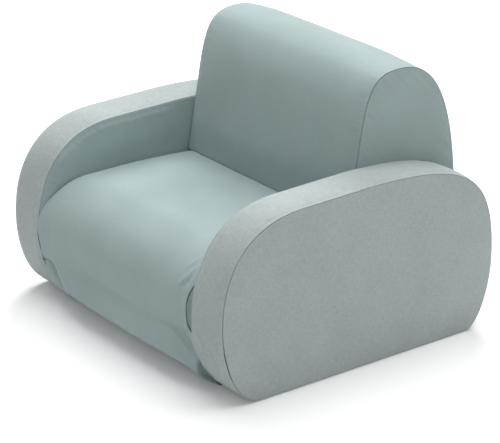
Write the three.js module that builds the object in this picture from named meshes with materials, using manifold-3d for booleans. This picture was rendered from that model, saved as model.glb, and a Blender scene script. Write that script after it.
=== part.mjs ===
// A child's foam armchair: a seat and back unit between two round-cornered arms.
// Millimetres, +Z up, and the front faces -Y. The origin is on the floor, midway
// between the arms and midway along them. Left and right are the sitter's own.

import * as THREE from 'three';
import { mergeVertices } from 'three/addons/utils/BufferGeometryUtils.js';
import Module from 'manifold-3d';

const wasm = await Module();
wasm.setup();

// Arms, measured along their seams
const overallWidth = 550;
const armThickness = 72;
const armLength = 511;
const armHeight = 283;
const armTopFall = 3;
const armFrontLevel = 127;
const armRearLevel = 115;
const armFootFront = 71;
const armFootRear = 48;
const armShoulderFront = 149;
const armShoulderRear = 241;

// Seat
const seatHeight = 201;
const seatDepth = 280;
const seatSetback = 3;
const creaseFall = 4;
const rollLevel = 135;
const rollDepth = 81;
const foldLevel = 72;
const foldDepth = 23;
const sideFoldDepth = 10;
const seatFootDepth = 46;

// Back
const backHeight = 421;
const rearSetback = 14;
const backLean = 39;
const backTopInset = 58;
const backFrontCurve = 90;
const backRearCurve = 291;
const rearFootRadius = 20;

// How full each corner is: the share of its reach that a curve's handle takes
const armFootFrontShare = 0.552;
const armFootRearShare = 0.481;
const armShoulderFrontShare = 0.64;
const armShoulderRearShare = 0.783;
const rollShare = 0.552;
const rollUnderShare = 0.55;
const seatFootShare = 0.4;
const backFrontShare = 0.8;
const backRearShare = 0.7;
const rearFootShare = 0.552;

// Fabric, seams and the padding's crown
const fabricThickness = 2;
const seamGap = 0.3;
const joinGap = 0.5;
const bandCrown = 3;
const armPanelCrown = 4;
const seatCrown = 5;
const backCrown = 6;
const gussetCrown = 3;
const gussetCrownStart = 30;
const crownRise = 60;
const acrossShares = [-1, -0.93, -0.78, -0.45, 0, 0.45, 0.78, 0.93, 1];
const bandShares = [-1, -0.75, -0.3, 0.3, 0.75, 1];
const domeShares = [1, 0.93, 0.78, 0.5];

// Zips, each at the back of a pocket between two folded fabric edges
const pocketWidth = 14;
const pocketDepth = 8;
const pocketWall = 1.5;
const pocketMargin = 26;
const rearZipLevel = 60;
const tapeWidth = 14;
const tapeThickness = 0.6;
const tapeOverlap = 5;
const rowWidth = 2.4;
const rowHeight = 1.8;
const rowSpacing = 1.5;
const tailRoom = 26;
const stopLength = 2.5;
const foamReliefMargin = 3;

// Zip slider, its arch and its pull
const sliderLength = 9;
const sliderWidth = 8;
const plateThickness = 1;
const webWidth = 0.8;
const webLength = 3;
const archLength = 7;
const archWidth = 1.6;
const archThickness = 0.9;
const archPost = 1;
const pullLength = 22;
const pullWidth = 7;
const pullThickness = 1.2;
const pullClearance = 0.4;
const runningGap = 0.5;
const sliderShares = [[-1, 0.62], [-0.35, 1], [0.7, 1], [1, 0.8]];

// Thread tacks low on the arms' inner front seams
const tackLength = 5;
const tackWidth = 2;
const tackThickness = 1.2;
const tackLevel = 73;

// One overrun serves all cuts and all overlaps of joined solids
const overrun = 1;

// Steps along a curved corner
const cornerSteps = 8;

const armFront = -armLength / 2;
const armRear = armLength / 2;
const armOuter = overallWidth / 2;
const armInner = armOuter - armThickness;
const unitHalf = armInner - joinGap;
const stripHalf = unitHalf - fabricThickness - seamGap;
const seatFront = armFront + seatSetback;
const creaseY = seatFront + seatDepth;
const creaseLevel = seatHeight - creaseFall;
const rearY = armRear - rearSetback;
const foamInset = fabricThickness + seamGap;

const looks = {
  seatFabric: { color: '#9fb3b4', roughness: 0.92, metalness: 0 },
  armFabric: { color: '#abb7b5', roughness: 0.95, metalness: 0 },
  baseFabric: { color: '#6f7b7a', roughness: 0.9, metalness: 0 },
  foam: { color: '#ece5d2', roughness: 1, metalness: 0 },
  tape: { color: '#8fa3a3', roughness: 0.9, metalness: 0 },
  teeth: { color: '#879b9b', roughness: 0.45, metalness: 0 },
  metal: { color: '#9aa0a0', roughness: 0.35, metalness: 1 },
  thread: { color: '#8b9c9b', roughness: 0.85, metalness: 0 },
};

function piece(name, geometry, look) {
  const mesh = new THREE.Mesh(geometry, new THREE.MeshStandardMaterial(looks[look]));
  mesh.name = name;
  return mesh;
}

function group(...children) {
  const holder = new THREE.Group();
  holder.add(...children);
  return holder;
}

// Solids for cutting and joining

function solid(geometry) {
  const bare = geometry.clone();
  bare.deleteAttribute('normal');
  bare.deleteAttribute('uv');
  const merged = mergeVertices(bare);
  return new wasm.Manifold(new wasm.Mesh({
    numProp: 3,
    vertProperties: Float32Array.from(merged.attributes.position.array),
    triVerts: Uint32Array.from(merged.index.array),
  }));
}

function surface(body) {
  const mesh = body.getMesh();
  const geometry = new THREE.BufferGeometry();
  geometry.setAttribute('position', new THREE.BufferAttribute(mesh.vertProperties, 3));
  geometry.setIndex(Array.from(mesh.triVerts));
  geometry.computeVertexNormals();
  return geometry;
}

// A box from its lowest to its highest corner
function block(low, high) {
  const geometry = new THREE.BoxGeometry(high[0] - low[0], high[1] - low[1], high[2] - low[2]);
  return geometry.translate((low[0] + high[0]) / 2, (low[1] + high[1]) / 2, (low[2] + high[2]) / 2);
}

// Curves in the side view, as lists of [y, z]

// A corner that leaves "from" along Z and reaches "to" along Y
function corner(from, to, handleShare) {
  const curve = new THREE.CubicBezierCurve(
    new THREE.Vector2(from[0], from[1]),
    new THREE.Vector2(from[0], THREE.MathUtils.lerp(from[1], to[1], handleShare)),
    new THREE.Vector2(THREE.MathUtils.lerp(to[0], from[0], handleShare), to[1]),
    new THREE.Vector2(to[0], to[1]),
  );
  return curve.getPoints(cornerSteps).map((point) => [point.x, point.y]);
}

function joinRuns(...runs) {
  const points = [];
  for (const point of runs.flat()) {
    const last = points[points.length - 1];
    const repeated = last && Math.hypot(point[0] - last[0], point[1] - last[1]) < seamGap;
    if (!repeated) {
      points.push(point);
    }
  }
  return points;
}

// Straight lines, cut into short steps so that the padding's crown can rise along them
function straight(from, to, steps) {
  const points = [];
  for (let step = 0; step <= steps; step += 1) {
    points.push([
      THREE.MathUtils.lerp(from[0], to[0], step / steps),
      THREE.MathUtils.lerp(from[1], to[1], step / steps),
    ]);
  }
  return points;
}

// From the foremost point over the top, down the rear and back along the floor
function armOutline() {
  const foremost = [armFront, armFrontLevel];
  const rearmost = [armRear, armRearLevel];
  const topFront = [armFront + armShoulderFront, armHeight - armTopFall];
  const topRear = [armRear - armShoulderRear, armHeight];
  const footRear = [armRear - armFootRear, 0];
  const footFront = [armFront + armFootFront, 0];
  const points = joinRuns(
    corner(foremost, topFront, armShoulderFrontShare),
    corner(rearmost, topRear, armShoulderRearShare).reverse(),
    corner(rearmost, footRear, armFootRearShare),
    corner(foremost, footFront, armFootFrontShare).reverse(),
  );
  points.pop();
  return points;
}

// From the floor up the loose front, round the roll and along the seat to the crease.
// The depth is how far the fold under the roll lies behind the roll's front.
function seatProfile(depth) {
  const fold = [seatFront + depth, foldLevel];
  const foremost = [seatFront, rollLevel];
  const rollTop = [seatFront + rollDepth, seatHeight];
  const under = new THREE.QuadraticBezierCurve(
    new THREE.Vector2(foremost[0], foremost[1]),
    new THREE.Vector2(foremost[0], THREE.MathUtils.lerp(rollLevel, foldLevel, rollUnderShare)),
    new THREE.Vector2(fold[0], fold[1]),
  );
  const underPoints = under.getPoints(cornerSteps / 2).map((point) => [point.x, point.y]);
  const top = straight(rollTop, [creaseY, seatHeight], cornerSteps);
  const sunk = top.map((point, index) => [point[0], point[1] - creaseFall * (index / cornerSteps) ** 2]);
  return joinRuns(
    corner(fold, [seatFront + seatFootDepth, 0], seatFootShare).reverse(),
    underPoints.reverse(),
    corner(foremost, rollTop, rollShare),
    sunk,
  );
}

// From the crease up the leaning front to the top
function backFront(startLevel) {
  const rise = backHeight - creaseLevel;
  const bendLevel = backHeight - backFrontCurve;
  const lean = (level) => (backLean * (level - creaseLevel)) / rise;
  const front = straight([creaseY, startLevel], [creaseY, bendLevel], cornerSteps / 2);
  const bend = corner([creaseY, bendLevel], [creaseY + backTopInset, backHeight], backFrontShare);
  return [...front, ...bend].map((point) => [point[0] + lean(point[1]), point[1]]);
}

// From the back's top down the rear and round its foot to the floor
function rearRun() {
  const topY = creaseY + backLean + backTopInset;
  return joinRuns(
    corner([rearY, backHeight - backRearCurve], [topY, backHeight], backRearShare).reverse(),
    corner([rearY, rearFootRadius], [rearY - rearFootRadius, 0], rearFootShare),
  );
}

// Where the rear run crosses a level
function rearPoint(level) {
  const run = rearRun();
  const below = run.findIndex((point) => point[1] <= level);
  const [low, high] = [run[below], run[below - 1]];
  return [THREE.MathUtils.mapLinear(level, low[1], high[1], low[0], high[0]), level];
}

// From the crease over the top and down the rear to a given level
function backProfile(startLevel, endLevel) {
  const above = rearRun().filter((point) => point[1] > endLevel);
  return joinRuns(backFront(startLevel), above, [rearPoint(endLevel)]);
}

// From a given level down the rear to the floor
function rearProfile(startLevel) {
  const below = rearRun().filter((point) => point[1] < startLevel);
  return joinRuns([rearPoint(startLevel)], below);
}

// Outward directions at each point, for lines that run from the front over the top
function outwards(points, closed, first, last) {
  const count = points.length;
  return points.map((point, index) => {
    if (!closed && index === 0) {
      return first;
    }
    if (!closed && index === count - 1) {
      return last;
    }
    const before = points[(index + count - 1) % count];
    const after = points[(index + 1) % count];
    const run = Math.hypot(after[0] - before[0], after[1] - before[1]);
    return [(before[1] - after[1]) / run, (after[0] - before[0]) / run];
  });
}

function offset(points, directions, distance) {
  return points.map((point, index) => [
    point[0] + directions[index][0] * distance,
    point[1] + directions[index][1] * distance,
  ]);
}

// 0 at a seam to 1 where the padding stands full
function fullness(distance) {
  return THREE.MathUtils.smoothstep(distance, 0, crownRise);
}

// Shells of fabric

// A closed mesh from two skins of equal grids, with faces turned outwards
function skins(outer, inner, closedRows) {
  const rows = outer.length;
  const columns = outer[0].length;
  const points = [...outer.flat(), ...inner.flat()];
  const under = rows * columns;
  const at = (row, column) => (row % rows) * columns + column;
  const index = [];
  const quad = (a, b, c, d) => index.push(a, b, c, a, c, d);
  const lastRow = closedRows ? rows : rows - 1;
  for (let row = 0; row < lastRow; row += 1) {
    for (let column = 0; column < columns - 1; column += 1) {
      const corners = [at(row, column), at(row, column + 1), at(row + 1, column + 1), at(row + 1, column)];
      quad(...corners);
      quad(...corners.map((corner) => corner + under).reverse());
    }
    quad(at(row + 1, 0), at(row + 1, 0) + under, at(row, 0) + under, at(row, 0));
    const edge = columns - 1;
    quad(at(row, edge), at(row, edge) + under, at(row + 1, edge) + under, at(row + 1, edge));
  }
  for (let column = 0; column < columns - 1 && !closedRows; column += 1) {
    const end = rows - 1;
    quad(at(0, column), at(0, column) + under, at(0, column + 1) + under, at(0, column + 1));
    quad(at(end, column + 1), at(end, column + 1) + under, at(end, column) + under, at(end, column));
  }
  return facingOut(points, index);
}

function facingOut(points, index) {
  const [a, b, c] = [new THREE.Vector3(), new THREE.Vector3(), new THREE.Vector3()];
  let volume = 0;
  for (let face = 0; face < index.length; face += 3) {
    a.fromArray(points[index[face]]);
    b.fromArray(points[index[face + 1]]);
    c.fromArray(points[index[face + 2]]);
    volume += a.dot(b.cross(c));
  }
  const geometry = new THREE.BufferGeometry();
  geometry.setAttribute('position', new THREE.Float32BufferAttribute(points.flat(), 3));
  geometry.setIndex(volume < 0 ? index.slice().reverse() : index);
  geometry.computeVertexNormals();
  return geometry;
}

// A strip of fabric along a profile, crowned across its width
function strip({ pointsAt, ends, closed, low, high, shares, crown, full }) {
  const columns = shares.map((share) => {
    const points = pointsAt(share);
    return { share, points, directions: outwards(points, closed, ...ends) };
  });
  const skin = (depth) => columns[0].points.map((_, row) => columns.map((column) => {
    const point = column.points[row];
    const direction = column.directions[row];
    const lift = crown * full(point) * (1 - Math.abs(column.share) ** 3) - depth;
    return [
      THREE.MathUtils.lerp(low, high, (column.share + 1) / 2),
      point[0] + direction[0] * lift,
      point[1] + direction[1] * lift,
    ];
  }));
  return skins(skin(0), skin(fabricThickness), closed);
}

// A side panel within an outline, domed towards +X or -X
function domedPanel(outline, plane, side, crown, full) {
  const middle = outline.reduce((sum, point) => [sum[0] + point[0], sum[1] + point[1]], [0, 0]);
  const centre = middle.map((value) => value / outline.length);
  const skin = (depth) => outline.map((point) => [...domeShares, 0].map((share) => {
    const y = THREE.MathUtils.lerp(centre[0], point[0], share);
    const z = THREE.MathUtils.lerp(centre[1], point[1], share);
    return [plane + side * (crown * full(z) * (1 - share ** 3) - depth), y, z];
  }));
  const domed = mergeVertices(skins(skin(0), skin(fabricThickness), true).deleteAttribute('normal'));
  return surface(solid(domed));
}

// A flat plate or a block of foam with an outline in the side view
function sidePlate(outline, low, high) {
  const shape = new THREE.Shape(outline.map((point) => new THREE.Vector2(point[0], point[1])));
  const plate = new THREE.ExtrudeGeometry(shape, { depth: high - low, bevelEnabled: false });
  const sideways = new THREE.Matrix4().makeBasis(
    new THREE.Vector3(0, 1, 0),
    new THREE.Vector3(0, 0, 1),
    new THREE.Vector3(1, 0, 0),
  );
  return plate.applyMatrix4(sideways).translate(low, 0, 0);
}

// Zips. Each is drawn along +X with +Z out of the fabric and its origin on the fabric's face.

const tapeFace = -pocketDepth - seamGap;
const rowFoot = tapeFace + seamGap;
const rowTop = rowFoot + rowHeight;
const plateFoot = rowTop + seamGap;
const plateTop = plateFoot + plateThickness;
const lowerPlateTop = tapeFace - tapeThickness - seamGap;
const pivotLevel = plateTop + pullClearance + pullThickness / 2;
const archFoot = pivotLevel + pullThickness / 2 + pullClearance;
const archTop = archFoot + archThickness;
const pivotX = -(archLength / 2 - archPost - pullThickness);
const eyeReach = Math.hypot(archLength / 2 - pivotX, archTop - pivotLevel) + runningGap;
const tapeEdge = rowSpacing / 2 + tapeWidth;

// Length of the two rows of teeth in a pocket of a given length
function rowLength(pocketLength) {
  return pocketLength - 2 * tailRoom;
}

// Where the slider rests when the zip is closed
function sliderRest(pocketLength) {
  return rowLength(pocketLength) / 2 - sliderLength / 2 - runningGap;
}

// The opening between the fabric edges, to be cut from the fabric
function pocketCut(length) {
  return block(
    [-length / 2, -pocketWidth / 2, -pocketDepth - overrun],
    [length / 2, pocketWidth / 2, overrun],
  );
}

// One folded fabric edge that runs in from the face to the tape
function pocketEdge(length, side) {
  const inner = (side * pocketWidth) / 2;
  const outer = side * (pocketWidth / 2 + pocketWall);
  return block(
    [-length / 2, Math.min(inner, outer), -pocketDepth],
    [length / 2, Math.max(inner, outer), -fabricThickness / 2],
  );
}

// Room in the foam for the tapes and the slider's inner plate
function foamRelief(length) {
  const side = tapeEdge + foamReliefMargin;
  const end = length / 2 + tapeOverlap + foamReliefMargin;
  const floor = lowerPlateTop - plateThickness - foamReliefMargin;
  return block([-end, -side, floor], [end, side, overrun]);
}

function tape(length, side) {
  const inner = (side * rowSpacing) / 2;
  const outer = side * tapeEdge;
  const end = length / 2 + tapeOverlap;
  return block(
    [-end, Math.min(inner, outer), tapeFace - tapeThickness],
    [end, Math.max(inner, outer), tapeFace],
  );
}

function teethRow(length, side) {
  const inner = (side * rowSpacing) / 2;
  const outer = side * (rowSpacing / 2 + rowWidth);
  const end = rowLength(length) / 2;
  return block([-end, Math.min(inner, outer), rowFoot], [end, Math.max(inner, outer), rowTop]);
}

// A clamp across both rows at one end of them
function zipStop(length, side) {
  const near = side * (rowLength(length) / 2 + seamGap);
  const far = near + side * stopLength;
  const half = rowSpacing / 2 + rowWidth;
  return block([Math.min(near, far), -half, rowFoot], [Math.max(near, far), half, rowTop]);
}

function sliderPlate(foot) {
  const upper = sliderShares.map(([x, y]) => new THREE.Vector2((x * sliderLength) / 2, (y * sliderWidth) / 2));
  const lower = upper.map((point) => new THREE.Vector2(point.x, -point.y)).reverse();
  const shape = new THREE.Shape([...upper, ...lower]);
  const plate = new THREE.ExtrudeGeometry(shape, { depth: plateThickness, bevelEnabled: false });
  return plate.translate(0, 0, foot);
}

// Two plates joined by a web between the rows, with an arch that holds the pull
function zipSlider() {
  const web = block(
    [-webLength / 2, -webWidth / 2, lowerPlateTop - plateThickness / 2],
    [webLength / 2, webWidth / 2, plateFoot + plateThickness / 2],
  );
  const archEnd = archLength / 2;
  const postFoot = plateFoot + plateThickness / 2;
  const half = archWidth / 2;
  const beam = block([-archEnd, -half, archFoot], [archEnd, half, archTop]);
  let body = solid(sliderPlate(plateFoot))
    .add(solid(sliderPlate(lowerPlateTop - plateThickness)))
    .add(solid(web))
    .add(solid(beam));
  for (const side of [-1, 1]) {
    const outer = side * archEnd;
    const inner = side * (archEnd - archPost);
    const post = block([Math.min(inner, outer), -half, postFoot], [Math.max(inner, outer), half, archTop]);
    body = body.add(solid(post));
  }
  return surface(body);
}

// A flat tab whose eye goes round the arch; its bar turns under the arch
function zipPull() {
  const half = pullWidth / 2;
  const head = pivotX + pullThickness / 2;
  const tail = pivotX - pullLength + half;
  const shape = new THREE.Shape();
  shape.moveTo(tail, -half);
  shape.lineTo(head, -half);
  shape.lineTo(head, half);
  shape.lineTo(tail, half);
  shape.absarc(tail, 0, half, Math.PI / 2, (3 * Math.PI) / 2, false);
  const eyeHalf = archWidth / 2 + runningGap;
  const eyeNear = pivotX - pullThickness / 2;
  const eyeFar = pivotX - eyeReach;
  const eye = new THREE.Path();
  eye.moveTo(eyeFar, -eyeHalf);
  eye.lineTo(eyeFar, eyeHalf);
  eye.lineTo(eyeNear, eyeHalf);
  eye.lineTo(eyeNear, -eyeHalf);
  eye.lineTo(eyeFar, -eyeHalf);
  shape.holes.push(eye);
  const options = { depth: pullThickness, bevelEnabled: false, curveSegments: cornerSteps };
  return new THREE.ExtrudeGeometry(shape, options).translate(0, 0, pivotLevel - pullThickness / 2);
}

function zip(name, length, place) {
  const slider = piece(`${name}_zip_slider`, zipSlider(), 'metal');
  const pull = piece(`${name}_zip_pull`, zipPull(), 'metal');
  const carriage = group(slider, pull);
  carriage.position.x = sliderRest(length);
  const holder = group(
    piece(`${name}_zip_tape_a`, tape(length, 1), 'tape'),
    piece(`${name}_zip_tape_b`, tape(length, -1), 'tape'),
    piece(`${name}_zip_teeth_a`, teethRow(length, 1), 'teeth'),
    piece(`${name}_zip_teeth_b`, teethRow(length, -1), 'teeth'),
    piece(`${name}_zip_end_stop`, zipStop(length, 1), 'metal'),
    piece(`${name}_zip_start_stop`, zipStop(length, -1), 'metal'),
    carriage,
  );
  holder.applyMatrix4(place);
  return holder;
}

// A placed copy of a zip's cutting or joining block
function placed(geometry, place) {
  return solid(geometry.applyMatrix4(place));
}

// Arms

const armOutlinePoints = armOutline();
const armDirections = outwards(armOutlinePoints, true);
const armMiddle = (armInner + armOuter) / 2;
const armFlatMiddle = (armFootFront - armFootRear) / 2;
const armPocketLength = armLength - armFootFront - armFootRear - 2 * pocketMargin;

// Along the arm's flat bottom, facing the floor, closed towards the rear
function armZipPlace(side) {
  const place = new THREE.Matrix4().makeBasis(
    new THREE.Vector3(0, 1, 0),
    new THREE.Vector3(1, 0, 0),
    new THREE.Vector3(0, 0, -1),
  );
  return place.setPosition(side * armMiddle, armFlatMiddle, 0);
}

function armBand(side) {
  const edge = fabricThickness + seamGap;
  const ring = strip({
    pointsAt: () => armOutlinePoints,
    ends: [],
    closed: true,
    low: side * (armInner + edge),
    high: side * (armOuter - edge),
    shares: bandShares,
    crown: bandCrown,
    full: (point) => fullness(point[1]),
  });
  const place = armZipPlace(side);
  const open = solid(ring).subtract(placed(pocketCut(armPocketLength), place));
  return surface(open
    .add(placed(pocketEdge(armPocketLength, 1), place))
    .add(placed(pocketEdge(armPocketLength, -1), place)));
}

function armFoam(side) {
  const outline = offset(armOutlinePoints, armDirections, -foamInset);
  const near = side * (armInner + foamInset);
  const far = side * (armOuter - foamInset);
  const blockOfFoam = sidePlate(outline, Math.min(near, far), Math.max(near, far));
  return surface(solid(blockOfFoam).subtract(placed(foamRelief(armPocketLength), armZipPlace(side))));
}

function armInnerPanel(side) {
  const near = side * armInner;
  const far = side * (armInner + fabricThickness);
  return sidePlate(armOutlinePoints, Math.min(near, far), Math.max(near, far));
}

function armOuterPanel(side) {
  return domedPanel(armOutlinePoints, side * armOuter, side, armPanelCrown, fullness);
}

function arm(name, side) {
  return group(
    piece(`${name}_arm_foam`, armFoam(side), 'foam'),
    piece(`${name}_arm_band`, armBand(side), 'armFabric'),
    piece(`${name}_arm_outer_panel`, armOuterPanel(side), 'armFabric'),
    piece(`${name}_arm_inner_panel`, armInnerPanel(side), 'seatFabric'),
    zip(`${name}_arm`, armPocketLength, armZipPlace(side)),
  );
}

// Seat and back unit

const forwards = [-1, 0];
const upwards = [0, 1];
const rearwards = [1, 0];
const downwards = [0, -1];
const splitHalf = seamGap / 2;
const rearPocketLength = 2 * stripHalf - 2 * pocketMargin;

// Across the lower rear, facing backwards, closed towards the sitter's right
const rearZipPlace = new THREE.Matrix4().makeBasis(
  new THREE.Vector3(-1, 0, 0),
  new THREE.Vector3(0, 0, 1),
  new THREE.Vector3(0, 1, 0),
).setPosition(0, rearY, rearZipLevel);

// The fold is deep across the middle and drawn forward at both arms
function seatCover() {
  return strip({
    pointsAt: (share) => {
      const points = seatProfile(THREE.MathUtils.lerp(foldDepth, sideFoldDepth, share ** 8));
      points[points.length - 1][0] -= seamGap;
      return points;
    },
    ends: [forwards, upwards],
    closed: false,
    low: -stripHalf,
    high: stripHalf,
    shares: acrossShares,
    crown: seatCrown,
    full: (point) => fullness(point[1]) * fullness(creaseY - point[0]),
  });
}

function backCover() {
  const points = backProfile(creaseLevel + splitHalf, rearZipLevel + splitHalf);
  const sheet = strip({
    pointsAt: () => points,
    ends: [forwards, rearwards],
    closed: false,
    low: -stripHalf,
    high: stripHalf,
    shares: acrossShares,
    crown: backCrown,
    full: (point) => fullness(point[1] - creaseLevel),
  });
  return surface(solid(sheet)
    .subtract(placed(pocketCut(rearPocketLength), rearZipPlace))
    .add(placed(pocketEdge(rearPocketLength, 1), rearZipPlace)));
}

function rearPanel() {
  const points = rearProfile(rearZipLevel - splitHalf);
  const sheet = strip({
    pointsAt: () => points,
    ends: [rearwards, downwards],
    closed: false,
    low: -stripHalf,
    high: stripHalf,
    shares: [-1, 1],
    crown: 0,
    full: () => 0,
  });
  return surface(solid(sheet)
    .subtract(placed(pocketCut(rearPocketLength), rearZipPlace))
    .add(placed(pocketEdge(rearPocketLength, -1), rearZipPlace)));
}

function basePanel() {
  const front = seatFront + seatFootDepth + fabricThickness + seamGap;
  const rear = rearY - rearFootRadius - seamGap;
  return block([-stripHalf, front, 0], [stripHalf, rear, fabricThickness]);
}

// The seat's side outline, with the back's foot behind the crease
function seatOutline() {
  const splitLevel = creaseLevel - splitHalf;
  const rear = [[creaseY + seamGap, splitLevel], ...rearProfile(splitLevel)];
  const front = seatProfile(sideFoldDepth).slice(0, -1);
  return [...front, [creaseY - seamGap, creaseLevel], ...rear];
}

function backOutline() {
  return backProfile(creaseLevel + splitHalf, creaseLevel + splitHalf);
}

function seatSide(side) {
  const near = side * (unitHalf - fabricThickness);
  const far = side * unitHalf;
  return sidePlate(seatOutline(), Math.min(near, far), Math.max(near, far));
}

function backGusset(side) {
  const full = (level) => fullness(level - armHeight - gussetCrownStart);
  return domedPanel(backOutline(), side * unitHalf, side, gussetCrown, full);
}

function seatFoam() {
  const points = seatProfile(foldDepth);
  const covered = offset(points, outwards(points, false, forwards, upwards), -foamInset);
  const rearPoints = rearProfile(creaseLevel - splitHalf);
  const rearDirections = outwards(rearPoints, false, rearwards, downwards);
  const rear = offset(rearPoints, rearDirections, -foamInset);
  const frontFoot = [covered[0][0], foamInset];
  const outline = [frontFoot, ...covered.filter((point) => point[1] > foamInset), ...rear];
  const core = solid(sidePlate(outline, -stripHalf, stripHalf));
  return surface(core.subtract(placed(foamRelief(rearPocketLength), rearZipPlace)));
}

function backFoam() {
  const points = backOutline();
  const directions = outwards(points, false, forwards, rearwards);
  return sidePlate(offset(points, directions, -foamInset), -stripHalf, stripHalf);
}

function seatUnit() {
  const sides = [['left', 1], ['right', -1]].flatMap(([name, side]) => [
    piece(`${name}_seat_side`, seatSide(side), 'seatFabric'),
    piece(`${name}_back_gusset`, backGusset(side), 'seatFabric'),
  ]);
  return group(
    piece('seat_foam', seatFoam(), 'foam'),
    piece('back_foam', backFoam(), 'foam'),
    piece('seat_cover', seatCover(), 'seatFabric'),
    piece('back_cover', backCover(), 'seatFabric'),
    piece('rear_panel', rearPanel(), 'seatFabric'),
    piece('base_panel', basePanel(), 'baseFabric'),
    ...sides,
    zip('rear', rearPocketLength, rearZipPlace),
  );
}

// A thread tack low on each arm's inner front seam, where the seat's fold ends

// The arm's front at a level, as its y and its slope in y for each step up in z
function armFrontAt(level) {
  const front = armOutlinePoints.filter((point) => point[0] < 0).sort((a, b) => a[1] - b[1]);
  const above = front.findIndex((point) => point[1] >= level);
  const [low, high] = [front[above - 1], front[above]];
  const slope = (high[0] - low[0]) / (high[1] - low[1]);
  return { y: low[0] + slope * (level - low[1]), slope };
}

function tack(side) {
  const { y, slope } = armFrontAt(tackLevel);
  const rise = (Math.abs(slope) * tackWidth) / 2;
  const bandLift = (bandCrown * (1 - Math.abs(bandShares[1]) ** 3)) / (1 - Math.abs(bandShares[1]));
  const lift = (bandLift * tackLength) / (armThickness / 2);
  const near = y - rise - lift - seamGap;
  const inner = side * armInner;
  const outer = side * (armInner + tackLength);
  return block(
    [Math.min(inner, outer), near - tackThickness, tackLevel - tackWidth / 2],
    [Math.max(inner, outer), near, tackLevel + tackWidth / 2],
  );
}

export default group(
  arm('left', 1),
  arm('right', -1),
  seatUnit(),
  piece('left_front_tack', tack(1), 'thread'),
  piece('right_front_tack', tack(-1), 'thread'),
);
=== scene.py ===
"""Dresses the CAD frame of a child's foam armchair: fabric covers, zips, tacks and a studio.

Blender objects are in metres. The side-view curves below are in millimetres, as in the
CAD, with +Z up and the front towards -Y. Left and right are the sitter's own.
"""

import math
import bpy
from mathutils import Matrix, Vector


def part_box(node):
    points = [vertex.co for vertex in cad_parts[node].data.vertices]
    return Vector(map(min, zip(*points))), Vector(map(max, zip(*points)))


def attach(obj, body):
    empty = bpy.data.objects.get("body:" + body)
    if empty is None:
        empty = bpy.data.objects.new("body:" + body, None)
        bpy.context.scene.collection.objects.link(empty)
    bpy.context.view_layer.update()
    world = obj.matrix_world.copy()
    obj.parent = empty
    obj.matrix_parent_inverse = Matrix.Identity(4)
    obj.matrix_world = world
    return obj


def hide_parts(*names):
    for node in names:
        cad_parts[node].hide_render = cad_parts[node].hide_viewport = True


bl_info = {
    "name": "Foam armchair covers",
    "version": (1, 0, 0),
    "blender": (4, 5, 0),
    "location": "3D View > Sidebar > Armchair",
    "description": "Makes the sewn covers, zips and studio of a child's foam armchair",
    "category": "Object",
}

import bmesh
import bpy
import numpy as np
from mathutils import Vector, geometry

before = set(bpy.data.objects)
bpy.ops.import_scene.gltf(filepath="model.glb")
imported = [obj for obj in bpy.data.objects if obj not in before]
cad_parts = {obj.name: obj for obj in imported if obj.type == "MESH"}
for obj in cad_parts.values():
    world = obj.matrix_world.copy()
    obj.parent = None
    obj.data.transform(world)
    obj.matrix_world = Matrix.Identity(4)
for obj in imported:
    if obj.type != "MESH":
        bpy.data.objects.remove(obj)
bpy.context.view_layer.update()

MM = 0.001


def node_box(node):
    """A CAD node's lowest and highest corner in millimetres."""
    low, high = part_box(node)
    return np.array(low) / MM, np.array(high) / MM


# The seams' planes and levels, from the frame
panel_low, panel_high = node_box("left_arm_inner_panel")
side_low, side_high = node_box("left_seat_side")
outer_low, _ = node_box("left_arm_outer_panel")
FABRIC = panel_high[0] - panel_low[0]
ARM_INNER = panel_low[0]
ARM_OUTER = outer_low[0] + FABRIC
ARM_FRONT = panel_low[1]
ARM_REAR = panel_high[1]
ARM_HEIGHT = panel_high[2]
UNIT_HALF = side_high[0]
SEAT_FRONT = side_low[1]
REAR_Y = side_high[1]

# Levels and reaches of the side-view curves
ARM_TOP_FALL = 3
ARM_FRONT_LEVEL = 127
ARM_REAR_LEVEL = 115
ARM_FOOT_FRONT = 71
ARM_FOOT_REAR = 48
ARM_SHOULDER_FRONT = 149
ARM_SHOULDER_REAR = 241
SEAT_HEIGHT = 201
SEAT_DEPTH = 280
CREASE_FALL = 4
ROLL_LEVEL = 135
ROLL_DEPTH = 81
SEAT_FOOT_DEPTH = 46
BACK_HEIGHT = 421
BACK_LEAN = 39
BACK_TOP_INSET = 58
BACK_FRONT_CURVE = 90
BACK_REAR_CURVE = 291
REAR_FOOT_RADIUS = 20
CREASE_Y = SEAT_FRONT + SEAT_DEPTH
CREASE_LEVEL = SEAT_HEIGHT - CREASE_FALL

# How full each corner is: the share of its reach that a curve's handle takes
ARM_FOOT_FRONT_SHARE = 0.552
ARM_FOOT_REAR_SHARE = 0.481
ARM_SHOULDER_FRONT_SHARE = 0.64
ARM_SHOULDER_REAR_SHARE = 0.783
ROLL_SHARE = 0.552
BACK_FRONT_SHARE = 0.8
BACK_REAR_SHARE = 0.7
REAR_FOOT_SHARE = 0.552

# Zip pockets
POCKET_WIDTH = 14
POCKET_DEPTH = 8
POCKET_MARGIN = 26
REAR_ZIP_LEVEL = 60
REAR_STRIP_INSET = 2.3
REAR_POCKET_HALF = UNIT_HALF - REAR_STRIP_INSET - POCKET_MARGIN
ARM_MIDDLE = (ARM_INNER + ARM_OUTER) / 2
ARM_POCKET_FRONT = ARM_FRONT + ARM_FOOT_FRONT + POCKET_MARGIN
ARM_POCKET_REAR = ARM_REAR - ARM_FOOT_REAR - POCKET_MARGIN

# Mesh steps, and how the padding rises from a seam
STEP = 3.0
CLOTH_STEP = 7.5
CURVE_POINTS = 60
CROWN_RISE = 60
RIGHT_ANGLE = math.pi / 2

# A sewn seam between two panels that meet at a right angle
SEAM_RADIUS = 0.9
SEAM_WEDGE = RIGHT_ANGLE / 2
SEAM_DEPTH = 2.4
SEAM_GAP = 0.15

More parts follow.
